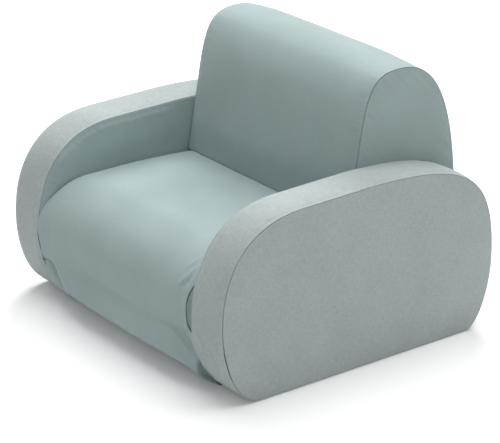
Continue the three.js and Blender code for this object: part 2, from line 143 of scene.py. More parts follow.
# How far the seat cover falls towards its side seams, on top and in front, and how wide
TOP_FALL = 6
FRONT_FALL = 1.5
FALL_WIDTH = 16

# How many frames the cloth simulation runs for, and how much it may add
LAST_FRAME = 20
ARM_SWELL = 1.2
UNIT_SWELL = 1.5

# How far from a seam the fabric puckers, and how far the stitching at the front pulls it
PUCKER_REACH = 6
PULL_WIDTH = 34

# The covers as pieces: their thickness
COVER_THICKNESS = 1.4

# How deep in a seam the painted shade of the groove starts, and where it is darkest
PAINTED_SEAM_SHADE = (0.5, 1.8)


# Numbers


def mix(a, b, share):
    return a + (b - a) * share


def rise(value, low, high):
    """Smoothly from 0 at low to 1 at high."""
    share = np.clip((value - low) / (high - low), 0, 1)
    return share * share * (3 - 2 * share)


def phases(seed, count):
    """Repeatable angles for the waves below."""
    return np.random.default_rng(seed).uniform(0, 2 * math.pi, count)


def eased_steps(levels, values):
    """A smooth line through values given at levels, in millimetres."""
    fine = np.arange(levels[0] - 40, levels[-1] + 41, 1.0)
    offsets = np.arange(-18, 19)
    weights = np.exp(-((offsets / 6) ** 2) / 2)
    padded = np.interp(np.arange(fine[0] - 18, fine[-1] + 19, 1.0), levels, values)
    smooth = np.convolve(padded, weights / weights.sum(), mode="valid")
    return lambda at: np.interp(at, fine, smooth)


def wander(value, pitch, seed):
    """An uneven wave along one measure, from about -1 to 1."""
    ratios = (1.0, 1.37, 0.71, 1.93, 0.52)
    turns = [
        np.sin(2 * math.pi * value / (pitch * ratio) + phase)
        for ratio, phase in zip(ratios, phases(seed, len(ratios)))
    ]
    return sum(turns) / 2.6


def drift(points, pitch, seed):
    """An uneven wave in space, from about -1 to 1, with bumps about pitch apart."""
    directions = np.random.default_rng(seed + 1).normal(size=(7, 3))
    directions /= np.linalg.norm(directions, axis=1)[:, None]
    waves = np.sin(points @ directions.T * (2 * math.pi / pitch) + phases(seed, 7))
    return waves.sum(1) / 3.2


# Lines in the side view, as points of (y, z) in millimetres


def bend(start, end, share):
    """A corner that leaves start along Z and reaches end along Y."""
    high = (start[0], mix(start[1], end[1], share))
    return curve(start, high, (mix(end[0], start[0], share), end[1]), end)


class Run:
    """A line in the side view, measured along its length. Outward is to the left of it."""

    REACH = 2.0

    def __init__(self, *parts, closed=False):
        points = np.vstack(parts)
        if closed:
            points = np.vstack([points, points[:1]])
        steps = np.hypot(*np.diff(points, axis=0).T)
        kept = np.concatenate([[True], steps > 1e-6])
        self.points = points[kept]
        self.along = np.concatenate([[0], np.cumsum(steps[steps > 1e-6])])
        self.length = self.along[-1]
        self.closed = closed

    def place(self, along):
        """Points at distances along the line, which goes straight on past an open end."""
        inside = along % self.length if self.closed else np.clip(along, 0, self.length)
        found = np.stack([np.interp(inside, self.along, side) for side in self.points.T], -1)
        if self.closed:
            return found
        first = (self.points[1] - self.points[0]) / self.along[1]
        last = (self.points[-1] - self.points[-2]) / (self.along[-1] - self.along[-2])
        before = np.minimum(along, 0)[..., None] * first
        after = np.maximum(along - self.length, 0)[..., None] * last
        return found + before + after

    def outward(self, along):
        ahead = self.place(along + self.REACH) - self.place(along - self.REACH)
        normal = np.stack([-ahead[..., 1], ahead[..., 0]], -1)
        return normal / np.linalg.norm(normal, axis=-1)[..., None]

    def softened(self, reach):
        """The same line with its sharp bends eased over about reach."""
        points = self.place(np.arange(0, self.length, 1.0))
        offsets = np.arange(-3 * reach, 3 * reach + 1)
        weights = np.exp(-((offsets / reach) ** 2) / 2)
        room = ((3 * reach, 3 * reach), (0, 0))
        if self.closed:
            padded = np.pad(points, room, mode="wrap")
        else:
            padded = np.pad(points, room, mode="reflect", reflect_type="odd")
        eased = [np.convolve(side, weights / weights.sum(), mode="valid") for side in padded.T]
        if self.closed:
            return Run(np.stack(eased, -1), closed=True)
        return Run(np.stack(eased, -1), self.place(np.array([self.length])))


def arm_run():
    """From the arm's foremost point over the top, down the rear and back along the floor."""
    foremost = (ARM_FRONT, ARM_FRONT_LEVEL)
    rearmost = (ARM_REAR, ARM_REAR_LEVEL)
    top_front = (ARM_FRONT + ARM_SHOULDER_FRONT, ARM_HEIGHT - ARM_TOP_FALL)
    top_rear = (ARM_REAR - ARM_SHOULDER_REAR, ARM_HEIGHT)
    foot_rear = (ARM_REAR - ARM_FOOT_REAR, 0)
    foot_front = (ARM_FRONT + ARM_FOOT_FRONT, 0)
    return Run(
        bend(foremost, top_front, ARM_SHOULDER_FRONT_SHARE),
        bend(rearmost, top_rear, ARM_SHOULDER_REAR_SHARE)[::-1],
        bend(rearmost, foot_rear, ARM_FOOT_REAR_SHARE),
        bend(foremost, foot_front, ARM_FOOT_FRONT_SHARE)[::-1][:-1],
        closed=True,
    )


def curve(*handles):
    """A curve through its first and last handle, drawn towards the two between."""
    t = np.linspace(0, 1, CURVE_POINTS)[:, None]
    weights = ((1 - t) ** 3, 3 * (1 - t) ** 2 * t, 3 * (1 - t) * t**2, t**3)
    return sum(weight * np.array(handle) for weight, handle in zip(weights, handles))


# The fold across the loose front, from the right arm to the left: where, its level, how
# deep it goes, and how far the fabric below it stands out
FRONT_FOLD = (
    (-203, -188, -165, -130, -70, 16, 90, 136, 149, 160, 173, 185, 197, 203),
    (86, 87, 88, 89, 90, 89, 88, 90, 91, 85, 75, 65, 54, 47),
    (3, 5, 4.5, 4.5, 4.5, 4.5, 4.5, 4.5, 4.5, 5.5, 7, 9, 12, 14),
    (-8.5, -4, 1, 4.5, 7, 7, 7, 7, 6.5, 5, 3, 1, 0, 0),
)


def seat_run(x):
    """From the floor up the loose front, round the roll and back to the crease, at a place
    across the seat."""
    level, depth, stand = (eased_steps(FRONT_FOLD[0], row)(x) for row in FRONT_FOLD[1:])
    fold_place = (SEAT_FRONT + depth, level)
    foremost = (SEAT_FRONT, ROLL_LEVEL)
    roll_top = (SEAT_FRONT + ROLL_DEPTH, SEAT_HEIGHT)
    foot = (SEAT_FRONT + SEAT_FOOT_DEPTH, 0)
    bulge = fold_place[0] - stand
    over = (fold_place[0] - 0.62 * stand, level * 0.9)
    crest = (bulge, level * 0.66)
    low_front = np.vstack([
        curve(fold_place, over, (bulge, level * 0.78), crest)[:-1],
        curve(crest, (bulge, level * 0.4), (foot[0] - 17, level * 0.185), foot),
    ])
    handles = (mix(level, ROLL_LEVEL, share) for share in (0.33, 0.7))
    under = curve(
        fold_place, (fold_place[0], next(handles)), (SEAT_FRONT, next(handles)), foremost
    )
    back = np.linspace(roll_top[0], CREASE_Y, CURVE_POINTS)
    sunk = SEAT_HEIGHT - CREASE_FALL * np.linspace(0, 1, CURVE_POINTS) ** 2
    return Run(
        low_front[::-1],
        under,
        bend(foremost, roll_top, ROLL_SHARE),
        np.stack([back, sunk], -1),
    ).softened(3)


def lean(points):
    """The backrest's lean, which grows from the crease to the top."""
    share = (points[:, 1] - CREASE_LEVEL) / (BACK_HEIGHT - CREASE_LEVEL)
    return points + np.stack([BACK_LEAN * share, 0 * share], -1)


def rear_points(end_level):
    """From the back's top down the rear to a level."""
    top = (CREASE_Y + BACK_LEAN + BACK_TOP_INSET, BACK_HEIGHT)
    rising = bend((REAR_Y, BACK_HEIGHT - BACK_REAR_CURVE), top, BACK_REAR_SHARE)
    end_y = np.interp(end_level, rising[:, 1], rising[:, 0])
    falling = rising[::-1]
    return np.vstack([falling[falling[:, 1] > end_level], [(end_y, end_level)]])


def back_run(end_level):
    """From the crease up the leaning front, over the top and down the rear to a level."""
    bend_foot = (CREASE_Y, BACK_HEIGHT - BACK_FRONT_CURVE)
    bend_top = (CREASE_Y + BACK_TOP_INSET, BACK_HEIGHT)
    front = np.vstack([[(CREASE_Y, CREASE_LEVEL)], bend(bend_foot, bend_top, BACK_FRONT_SHARE)])
    return Run(lean(front), rear_points(end_level))


def rear_foot():
    """From the rear zip down and round the foot to the floor."""
    start = (REAR_Y, REAR_FOOT_RADIUS)
    return bend(start, (REAR_Y - REAR_FOOT_RADIUS, 0), REAR_FOOT_SHARE)


# Edges of fabric


def turned_edge(radius, wedge, depth):
    """How a panel turns in at a seam: distances from the seam along the panel, and heights
    over it, from the deepest point out to the face. The wedge is the angle between the
    face and the plane in which the two panels meet."""
    tangent = radius / math.tan(wedge / 2)
    turns = np.linspace(math.pi - wedge, 0, 7)
    away = tangent - radius * np.sin(turns)
    height = radius * np.cos(turns) - radius
    deep = away[0] + depth * math.cos(wedge), height[0] - depth * math.sin(wedge)
    away = np.concatenate([[deep[0]], away])
    height = np.concatenate([[deep[1]], height])
    away[:-1] += SEAM_GAP * math.sin(wedge)
    height[:-1] += SEAM_GAP * math.cos(wedge)
    return away, height


def seam_edge():
    return turned_edge(SEAM_RADIUS, SEAM_WEDGE, SEAM_DEPTH)


def plain_edge():
    """An edge with no turn, for the coarse panels of the cloth simulation."""
    return np.zeros(1), np.zeros(1)


def hidden_edge():
    """A seam that lies out of sight, between the seat and an arm or beside a zip."""
    return turned_edge(radius=1.2, wedge=RIGHT_ANGLE, depth=2)


def floor_edge():
    """Where a panel meets the underside."""
    return turned_edge(radius=1.5, wedge=RIGHT_ANGLE, depth=2)


def folded_edge():
    """The fold of fabric at a zip pocket, and the pocket's wall."""
    return turned_edge(radius=1.0, wedge=math.radians(92), depth=POCKET_DEPTH - 1)


def spaced(low, high, low_edge, high_edge, step):
    """Places from one turned edge to the other, and the height of the fabric at each."""
    start = low + low_edge[0][-1]
    end = high - high_edge[0][-1]
    count = max(2, round((end - start) / step))
    middle = np.linspace(start, end, count + 1)[1:-1]
    places = np.concatenate([low + low_edge[0], middle, high - high_edge[0][::-1]])
    heights = np.concatenate([low_edge[1], 0 * middle, high_edge[1][::-1]])
    return places, heights


class Skin:
    """A panel's outer face: points in millimetres, outward directions and faces. Away is
    the distance from the seam, and free the distance from where the fabric starts to turn."""

    def __init__(self, points, outward, faces, weave, away, free, turned):
        self.rest = points.copy()
        self.points = points.copy()
        self.outward = outward
        self.faces = faces
        self.weave = weave
        self.away = away
        self.free = np.where(turned < 0, 0, np.maximum(free, 0))
        self.loose = rise(self.free, 0, 9)
        self.turned = turned

    def push(self, heights):
        """Moves the fabric outwards, but not at the seams, where neighbours have to meet."""
        self.points += self.outward * (self.loose * heights)[:, None]

    def shift(self, moves):
        self.points += moves * self.loose[:, None]

    def turn_edges(self):
        """Folds the edges in at the seams."""
        self.points += self.outward * self.turned[:, None]


def grid_faces(rows, columns, closed, kept=None):
    """Faces over a grid of points, leaving out the cells that kept says no to."""
    last = rows if closed else rows - 1
    faces = []
    for row in range(last):
        for column in range(columns - 1):
            if kept is not None and not kept(row, column):
                continue
            here = row * columns
            ahead = (row + 1) % rows * columns
            faces.append((here + column, ahead + column, ahead + column + 1, here + column + 1))
    return faces


def strip(run_at, along, across, heights, away, free, closed=False, kept=None):
    """Fabric along side-view lines. All but across are rows by columns."""
    rows, columns = along.shape
    points = np.empty((rows, columns, 3))
    outward = np.zeros((rows, columns, 3))
    for column, x in enumerate(across):
        run = run_at(x)
        points[:, column, 0] = x
        points[:, column, 1:] = run.place(along[:, column])
        outward[:, column, 1:] = run.outward(along[:, column])
    weave = np.stack([np.broadcast_to(across, along.shape), along], -1)
    return Skin(
        points.reshape(-1, 3),
        outward.reshape(-1, 3),
        grid_faces(rows, columns, closed, kept),
        weave.reshape(-1, 2),
        np.array(away, float).reshape(-1),
        np.array(free, float).reshape(-1),
        np.array(heights, float).reshape(-1),
    )


def inside(points, ring):
    """Which points of the side view lie inside a closed ring."""
    x, y = points[:, 0, None], points[:, 1, None]
    x0, y0 = ring[:, 0], ring[:, 1]
    x1, y1 = np.roll(x0, -1), np.roll(y0, -1)
    crosses = (y0 > y) != (y1 > y)
    with np.errstate(divide="ignore", invalid="ignore"):
        meets = x < (x1 - x0) * (y - y0) / (y1 - y0) + x0
    return (crosses & meets).sum(1) % 2 == 1


def panel(run, plane, side, edge, step):
    """A side panel within a closed line: rings along its seam, then an even field."""
    along = even_rows(run, step)
    count = len(along)
    reach = edge[0][-1]
    away = np.append(edge[0], reach + 0.8 * step)
    heights = np.append(edge[1], 0)
    at, outward = run.place(along), run.outward(along)
    rings = [at - outward * distance for distance in away]
    ring = rings[-1]
    low, high = ring.min(0), ring.max(0)
    row_step = step * math.sqrt(0.75)
    field = []
    for index, z in enumerate(np.arange(low[1] + row_step / 2, high[1], row_step)):
        start = low[0] + (index % 2) * step / 2
        field += [(y, z) for y in np.arange(start, high[0], step)]
    field = np.array(field)
    field = field[inside(field, ring)]
    nearest = np.concatenate([
        np.linalg.norm(some[:, None] - ring[None], axis=2).min(1)
        for some in np.array_split(field, 40)
    ])
    apart = nearest > 0.6 * step
    field, nearest = field[apart], nearest[apart]
    flat = [Vector(point) for point in np.vstack([ring, field])]
    found = geometry.delaunay_2d_cdt(flat, [], [list(range(count))], 1, 1e-5)
    first = (len(rings) - 1) * count
    faces = []
    for here in range(0, first, count):
        ahead = here + count
        for index in range(count):
            after = (index + 1) % count
            faces.append((here + index, ahead + index, ahead + after, here + after))
    faces += [tuple(first + found[3][corner][0] for corner in face) for face in found[2]]
    side_view = np.vstack([*rings, field])
    points = np.column_stack([np.full(len(side_view), plane), side_view])
    out = np.zeros_like(points)
    out[:, 0] = side
    every_away = np.concatenate([np.repeat(away, count), nearest + away[-1]])
    turned = np.concatenate([np.repeat(heights, count), 0 * nearest])
    return Skin(points, out, faces, side_view.copy(), every_away, every_away - reach, turned)


def dome_share(skin, run):
    """How far out each point lies between a panel's middle and its seam, from 0 to 1."""
    outline = run.place(np.linspace(0, run.length, 400))
    centre = run.place(np.linspace(0, run.length, 80)).mean(0)
    spokes = outline - centre
    angles = np.arctan2(spokes[:, 1], spokes[:, 0])
    order = np.argsort(angles)
    lengths = np.hypot(*spokes.T)[order]
    offsets = skin.rest[:, 1:] - centre
    reach = np.interp(
        np.arctan2(offsets[:, 1], offsets[:, 0]), angles[order], lengths, period=2 * math.pi
    )
    return np.clip(np.hypot(*offsets.T) / reach, 0, 1)


# Padding


def spread(values, from_points, to_points, reach):
    """Values at some points carried to others as a mean weighted by nearness."""
    made = np.empty((len(to_points), values.shape[1]))
    scale = 1 / (2 * reach * reach)
    squares = (from_points**2).sum(1)
    for some in np.array_split(np.arange(len(to_points)), max(1, len(to_points) // 2000)):
        here = to_points[some]
        gaps = (here**2).sum(1)[:, None] + squares - 2 * here @ from_points.T
        weights = np.exp(-np.maximum(gaps, 0) * scale) + 1e-12
        made[some] = weights @ values / weights.sum(1)[:, None]
    return made


def simulated(pads, pressure):
    """Blows up coarse panels whose seams are held, and returns how far each point moved.
    A pad is (skin, held point numbers). The covers' own weight is left out: foam carries it."""
    pieces = []
    for skin, held in pads:
        mesh = bpy.data.meshes.new("cloth_pad")
        mesh.from_pydata(skin.points * MM, [], skin.faces)
        normals = np.array([face.normal for face in mesh.polygons])
        corners = [face.vertices[0] for face in mesh.polygons]
        if (normals * skin.outward[corners]).sum() < 0:
            # Pressure acts along the faces' normals, so these have to point outwards
            mesh.flip_normals()
        piece = new_object("cloth_pad", mesh)
        group = piece.vertex_groups.new(name="seams")
        group.add([int(index) for index in held], 1.0, "REPLACE")
        settings = piece.modifiers.new("Cloth", "CLOTH").settings
        settings.quality = 6
        settings.mass = 0.25
        settings.tension_stiffness = 12
        settings.compression_stiffness = 12
        settings.shear_stiffness = 4
        settings.bending_stiffness = 1.5
        settings.use_pressure = True
        settings.uniform_pressure_force = pressure
        settings.vertex_group_mass = "seams"
        settings.effector_weights.gravity = 0
        pieces.append(piece)
    scene = bpy.context.scene
    for number in range(1, LAST_FRAME + 1):
        scene.frame_set(number)
    depsgraph = bpy.context.evaluated_depsgraph_get()
    moves = []
    for piece, (skin, _) in zip(pieces, pads):
        places = read_rows(piece.evaluated_get(depsgraph).data.vertices, "co")
        moves.append(places.astype(float) / MM - skin.points)
        mesh = piece.data
        bpy.data.objects.remove(piece)
        bpy.data.meshes.remove(mesh)
    scene.frame_set(1)
    return moves


def swell(jobs, pressure, cap):
    """Fills panels by cloth simulation. A job is (fine skin, coarse skin, held points)."""
    moves = simulated([(coarse, held) for _, coarse, held in jobs], pressure)
    for (fine, coarse, _), move in zip(jobs, moves):
        far = np.linalg.norm(move, axis=1)[:, None]
        capped = move * cap * np.tanh(far / cap) / np.maximum(far, 1e-9)
        carried = spread(capped, coarse.rest, fine.rest, CLOTH_STEP)
        fine.shift(carried)


# How uneven the padding is: how far it rises and falls, and how far apart its bumps are
BAND_BUMPS = (0.35, 90)
OUTER_BUMPS = (0.6, 110)
SEAT_BUMPS = (0.7, 120)
BACK_BUMPS = (0.6, 120)


def unsettle(skin, share, bumps, seed):
    """Makes the padding under a panel uneven."""
    height, pitch = bumps
    skin.push(height * share * drift(skin.rest, pitch, seed))


def pucker(skin, measure, size, pitch, seed):
    """Gathers that a sewn seam pulls into the fabric beside it."""
    near = skin.free / PUCKER_REACH
    skin.push(size * wander(measure, pitch, seed) * near * np.exp(1 - near))


def line_share(places, line):
    """How far places lie from a line of points, and where along it, from 0 to 1."""
    line = np.array(line, float)
    best = np.full(len(places), np.inf)
    share = np.zeros(len(places))
    steps = np.linalg.norm(np.diff(line, axis=0), axis=1)
    before = 0.0
    for start, end, step in zip(line[:-1], line[1:], steps):
        t = np.clip((places - start) @ (end - start) / step**2, 0, 1)
        gap = np.linalg.norm(places - start - t[:, None] * (end - start), axis=1)
        nearer = gap < best
        best[nearer] = gap[nearer]
        share[nearer] = ((before + t * step) / steps.sum())[nearer]
        before += step
    return best, share


# Folds and dents that show: their line in the front view, their half width at its start and
# end, and how far they rise or sink. All in millimetres
FOLDS = {
    "seat": (
        (((112, 84), (138, 85), (153, 84), (165, 76), (177, 66), (189, 56), (197, 46)),
         (4, 4), 2.4),
        (((160, 98), (172, 92), (182, 80), (190, 68), (196, 57)), (5, 3), -3.0),
        (((186, 86), (191, 68), (194.5, 54), (195.5, 42), (195.5, 30), (196, 16), (196, 3)),
         (2.5, 3), 1.8),
        (((158, 156), (170, 171), (176, 183), (178, 189)), (4, 3), 1.3),
        (((157, 180), (163, 188), (167, 194)), (3, 3), 0.9),
        (((166, 154), (174, 163), (181, 170), (184, 176)), (5, 3.5), -1.8),
        (((-199, 84), (-193, 75), (-181, 66), (-169, 57), (-156, 47), (-143, 36)), (3.5, 9), -6.5),
        (((-184, 85), (-164, 76), (-149, 68), (-132, 59), (-117, 48)), (4, 5), 1.8),
    ),
    "left band": (
        (((214, 108), (222, 98), (228, 88), (231, 75), (232, 60), (231, 46)), (3, 3), 3.0),
        (((209, 96), (214, 84), (216.5, 72), (216, 58), (213, 42), (210, 24), (208, 8)),
         (3.5, 5), -3.4),
        (((245, 96), (248, 80), (249, 64), (248, 50)), (5, 5), -2.4),
        (((259, 106), (262, 88), (262.5, 70), (264, 50)), (4, 4), 3.0),
    ),
    "right band": (
        (((-216, 134), (-211.5, 118), (-211, 98), (-213, 74), (-219, 46)), (3, 3), 1.5),
        (((-212, 152), (-211.5, 139), (-211, 126)), (4, 3), -1.2),
    ),
    "back": (
        (((190, 382), (194, 371), (197, 360)), (3, 2.5), -1.8),
        (((193, 354), (192, 343)), (3.5, 3), -1.6),
        (((191, 337), (189.5, 322)), (3.5, 3), -1.8),
        (((190, 311), (194, 292)), (3.5, 3), -1.8),
    ),
}

# The share of its length over which a fold rises and dies away at its ends
FOLD_FADE = 0.25


def press_folds(skin, name):
    """Presses a piece's folds and dents into it, raised where their height is positive."""
    for line, width, height in FOLDS[name]:
        gap, share = line_share(skin.points[:, (0, 2)], line)
        taper = rise(share, 0, FOLD_FADE) * rise(1 - share, 0, FOLD_FADE)
        lift = height * np.exp(-((gap / mix(*width, share)) ** 2)) * taper
        lift = lift * (skin.rest[:, 1] < 0) * rise(skin.free, 0, 4)
        skin.points += skin.outward * lift[:, None]


# Objects


def titled(node):
    """A piece's name: the words of its node, each with a capital."""
    return "".join(word.capitalize() for word in node.split("_"))


def new_object(name, data):
    made = bpy.data.objects.new(name, data)
    bpy.context.scene.collection.objects.link(made)
    return made


def read_rows(items, name, width=3, kind=np.float32):
    """One property of all vertices or corners, a row for each."""
    values = np.empty(len(items) * width, kind)
    items.foreach_get(name, values)
    return values.reshape(-1, width)


def place_piece(node, mesh, material, body):
    """Puts a mesh in the scene, to stand for its CAD node, if it has one, and move with a
    body."""
    mesh.materials.clear()
    mesh.materials.append(material)
    piece = new_object(titled(node), mesh)
    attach(piece, body)
    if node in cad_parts:
        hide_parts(node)
    return piece


def make_cover(node, skin, kind, fabrics):
    """Turns a skin into a closed panel of fabric, with its edges folded in at the seams."""
    skin.turn_edges()
    mesh = bpy.data.meshes.new(titled(node))
    mesh.from_pydata(skin.points * MM, [], skin.faces)
    mesh.validate()
    weave = mesh.uv_layers.new(name="weave")
    corners = read_rows(mesh.loops, "vertex_index", 1, np.int32)[:, 0]
    weave.data.foreach_set("uv", (skin.weave[corners] * MM).astype(np.float32).ravel())
    # Painted shade: the rows turned deep into a seam are marked, so the fabric is drawn darker
    # where the groove's shade falls
    seam = mesh.attributes.new("seam", "FLOAT", "POINT")
    depth = rise(-skin.turned, *PAINTED_SEAM_SHADE) * (skin.away < 4)
    seam.data.foreach_set("value", depth.astype(np.float32))
    mesh.shade_smooth()
    if (read_rows(mesh.vertices, "normal") * skin.outward).sum() < 0:
        # Most faces look inwards
        mesh.flip_normals()
    piece = place_piece(node, mesh, fabrics[kind], "chair")
    solid = piece.modifiers.new("Thickness", "SOLIDIFY")
    solid.thickness = COVER_THICKNESS * MM
    solid.offset = -1


def linear(code):
    """A colour written as sRGB hex, as the linear colour that shaders take."""
    parts = [int(code[start : start + 2], 16) / 255 for start in (1, 3, 5)]
    return tuple(
        part / 12.92 if part <= 0.04045 else ((part + 0.055) / 1.055) ** 2.4 for part in parts
    )


WHITE = (1, 1, 1, 1)

# A mix of colours takes them at these inputs and gives its result at this output
MIX_FROM, MIX_TO, MIXED = 6, 7, 2

# A wave texture's scale for bands one metre apart
METRE_BANDS = math.pi / 10


def feed(node, feeds):
    """Gives inputs what goes into them: an output, a node's first output, or a constant."""
    for socket, source in feeds:
        if isinstance(source, bpy.types.Node):
            source = source.outputs[0]
        if isinstance(source, bpy.types.NodeSocket):
            node.id_data.links.new(source, node.inputs[socket])
        else:
            node.inputs[socket].default_value = source


def add_node(tree, kind, feeds=(), **settings):
    """Adds a shader node. Settings name its properties, or its inputs with _ for a space."""
    node = tree.nodes.new(f"ShaderNode{kind}")
    for key, value in settings.items():
        if hasattr(node, key):
            setattr(node, key, value)
        else:
            node.inputs[key.replace("_", " ")].default_value = value
    feed(node, feeds)
    return node


def new_material(name, **constants):
    """A material with one shader, whose sockets get the constants."""
    material = bpy.data.materials.new(name)
    material.use_nodes = True
    tree = material.node_tree
    tree.nodes.clear()
    shader = add_node(tree, "BsdfPrincipled", **constants)
    add_node(tree, "OutputMaterial", [("Surface", shader)])
    return material, tree, shader


def tone(tree, source, dark, light, low=0.3, high=0.7):
    """A colour from dark to light over a pattern's values."""
    ramp = add_node(tree, "ValToRGB", [("Fac", source)])
    for end, place, colour in zip(ramp.color_ramp.elements, (low, high), (dark, light)):
        end.position = place
        end.color = (*colour, 1)
    return ramp


def shade(colour, factor):
    return tuple(min(1, part * factor) for part in colour)


def cover_fabric(name, colour, thread, mottle, contrast, sheen, bump):
    """A sewn cover's fabric: threads that cross, uneven yarns, and painted shade deep in the seams.
    Thread, mottle and bump are the threads' and the yarn marks' pitch and the relief, in mm."""
    material, tree, shader = new_material(
        name, Roughness=0.88, IOR=1.46, Specular_IOR_Level=0.3, Sheen_Weight=sheen,
        Sheen_Roughness=0.45,
    )
    weave = add_node(tree, "UVMap", uv_map="weave")
    yarns, waves = [], []
    for direction, stretch in (("X", (1.0, 0.22, 1.0)), ("Y", (0.22, 1.0, 1.0))):
        drawn_out = add_node(tree, "Mapping", [("Vector", weave)], Scale=stretch)
        yarns.append(add_node(
            tree, "TexNoise", [("Vector", drawn_out)],
            Scale=1 / (mottle * MM), Detail=2.0, Roughness=0.6,
        ))
        waves.append(add_node(
            tree, "TexWave", [("Vector", weave)], bands_direction=direction,
            Scale=METRE_BANDS / (thread * MM), Distortion=0.6, Detail=1.0,
        ).outputs["Fac"])
    crossed = add_node(tree, "Math", enumerate(yarns), operation="ADD")
    halved = add_node(tree, "Math", [(0, crossed), (1, 0.5)], operation="MULTIPLY")
    dark, light = shade(colour, 1 - contrast), shade(colour, 1 + contrast)
    heather = tone(tree, halved, dark, light, 0.36, 0.64)
    place = add_node(tree, "TexCoord").outputs["Object"]
    broad = add_node(tree, "TexNoise", [("Vector", place)], Scale=1 / (70 * MM), Detail=1.0)
    clouds = tone(tree, broad, (0.93,) * 3, (1, 1, 1))
    shifted = add_node(
        tree, "Mix", [(0, 1.0), (MIX_FROM, heather), (MIX_TO, clouds)],
        data_type="RGBA", blend_type="MULTIPLY",
    )
    # Painted shade: deep in a seam's groove the colour goes down to 0.4 of itself, standing in for
    # the shade there
    seam = add_node(tree, "Attribute", attribute_name="seam").outputs["Fac"]
    deep = (*shade(colour, 0.4), 1)
    painted_seam_shade = add_node(
        tree, "Mix", [(0, seam), (MIX_FROM, shifted.outputs[MIXED]), (MIX_TO, deep)],
        data_type="RGBA",
    )
    threads = add_node(tree, "Math", enumerate(waves), operation="MULTIPLY")
    relief = add_node(tree, "Math", [(0, threads), (1, halved)], operation="ADD")
    raised = add_node(tree, "Bump", [("Height", relief)], Strength=0.35, Distance=bump * MM)
    feed(shader, [("Base Color", painted_seam_shade.outputs[MIXED]), ("Normal", raised)])
    return material


def seat_fabric(colours):
    # Polyester softshell, knitted and brushed: smooth and even, with a soft bloom at its edges
    return cover_fabric(
        "Brushed polyester softshell", tuple(colours.seat_fabric), thread=1.1, mottle=3.0,
        contrast=0.03, sheen=0.22, bump=0.12,
    )


def arm_fabric(colours):
    # Polyester canvas, woven from two tones of yarn: a fine heathered grain. Real threads
    # are about 0.5 mm apart, too fine to show, so they are drawn 1.6 mm apart
    return cover_fabric(
        "Heathered polyester canvas", tuple(colours.arm_fabric), thread=1.6, mottle=2.4,
        contrast=0.09, sheen=0.15, bump=0.2,
    )


def base_fabric(colours):
    # Polypropylene felt, needle-punched: a flat, fibrous, slightly darker underside
    return cover_fabric(
        "Needle-punched base felt", tuple(colours.base_fabric), thread=2.0, mottle=4.0,
        contrast=0.12, sheen=0.1, bump=0.3,
    )


# Studio


# The surroundings' light, and the floor's size and level in metres and how much it glows
WORLD_STRENGTH = 0.06
FLOOR_SIZE = 30.0
FLOOR_LEVEL = -0.0006
FLOOR_GLOW = 0.11

# The lamps, all disks that look at one point: their place and width in metres, and watts
LAMP_TARGET = (0, 0, 0.15)
LAMPS = (
    ("Overhead", (0, 0, 3.0), 2.5, 52),
    ("Canopy", (0, 0, 2.2), 4.5, 29),
    ("RearLeft", (-1.6, 1.6, 2.4), 1.5, 54),
    ("RearRight", (1.6, 1.6, 2.4), 1.5, 13),
    ("Left", (-3.0, 0, 1.0), 1.5, 10),
    ("Right", (3.0, 0, 1.0), 1.5, 10.5),
    ("Front", (0, -3.0, 1.0), 1.5, 4),
    ("FrontHigh", (0, -2.2, 2.2), 1.2, 3),
    ("FrontLow", (2.4, -2.2, 0.4), 1.2, 4.3),
)


def make_camera(sizes):
    data = bpy.data.cameras.new("Camera")
    data.lens = sizes.lens
    data.sensor_width = 36
    camera = new_object("Camera", data)
    turn, climb = sizes.view_azimuth, sizes.view_elevation
    away = Vector((
        math.sin(turn) * math.cos(climb),
        -math.cos(turn) * math.cos(climb),
        math.sin(climb),
    ))
    camera.location = Vector(sizes.view_target) + away * sizes.view_distance
    camera.rotation_euler = (-away).to_track_quat("-Z", "Y").to_euler()
    bpy.context.scene.camera = camera


def make_lamp(name, place, size, power):
    data = bpy.data.lights.new(name, "AREA")
    data.shape = "DISK"
    data.size = size
    data.energy = power
    lamp = new_object(name, data)
    lamp.location = place
    toward = Vector(LAMP_TARGET) - Vector(place)
    lamp.rotation_euler = toward.to_track_quat("-Z", "Y").to_euler()


def seen_rays(tree):
    """1 for rays from the camera, or by way of gloss or glass, and 0 for all others."""
    rays = add_node(tree, "LightPath").outputs
    straight, gloss = rays["Is Camera Ray"], rays["Is Glossy Ray"]
    first = add_node(tree, "Math", [(0, straight), (1, gloss)], operation="MAXIMUM")
    glass = rays["Is Transmission Ray"]
    return add_node(tree, "Math", [(0, first), (1, glass)], operation="MAXIMUM")


def make_world(strength):
    world = bpy.data.worlds.new("Studio")
    bpy.context.scene.world = world
    world.use_nodes = True
    tree = world.node_tree
    tree.nodes.clear()
    lit = add_node(tree, "Background", Color=WHITE, Strength=strength)
    seen = add_node(tree, "Background", Color=WHITE, Strength=1.0)
    chosen = add_node(tree, "MixShader", [(0, seen_rays(tree)), (1, lit), (2, seen)])
    add_node(tree, "OutputWorld", [("Surface", chosen)])


def make_floor(size, level, glow):
    """A white floor, which is seen as plain white away from the chair."""
    corners = [(x * size / 2, y * size / 2, level) for x, y in ((-1, -1), (1, -1), (1, 1), (-1, 1))]
    mesh = bpy.data.meshes.new("Floor")
    mesh.from_pydata(corners, [], [(0, 1, 2, 3)])
    # White painted sweep: matt, and lifted a little towards white where it is seen
    material, tree, shader = new_material(
        "Matt white studio paint", Base_Color=(*linear("#F8F8F8"), 1), Roughness=0.95,
        Specular_IOR_Level=0.0, Emission_Color=WHITE,
    )
    place = add_node(tree, "NewGeometry").outputs["Position"]
    reach = add_node(tree, "VectorMath", [(0, place)], operation="LENGTH").outputs["Value"]
    far = add_node(tree, "MapRange", [
        ("Value", reach), ("From Min", 1.0), ("From Max", 2.4), ("To Min", glow), ("To Max", 1),
    ])
    lift = add_node(tree, "Math", [(0, seen_rays(tree)), (1, far)], operation="MULTIPLY")
    feed(shader, [("Emission Strength", lift)])
    mesh.materials.append(material)
    new_object("Floor", mesh)


# Covers


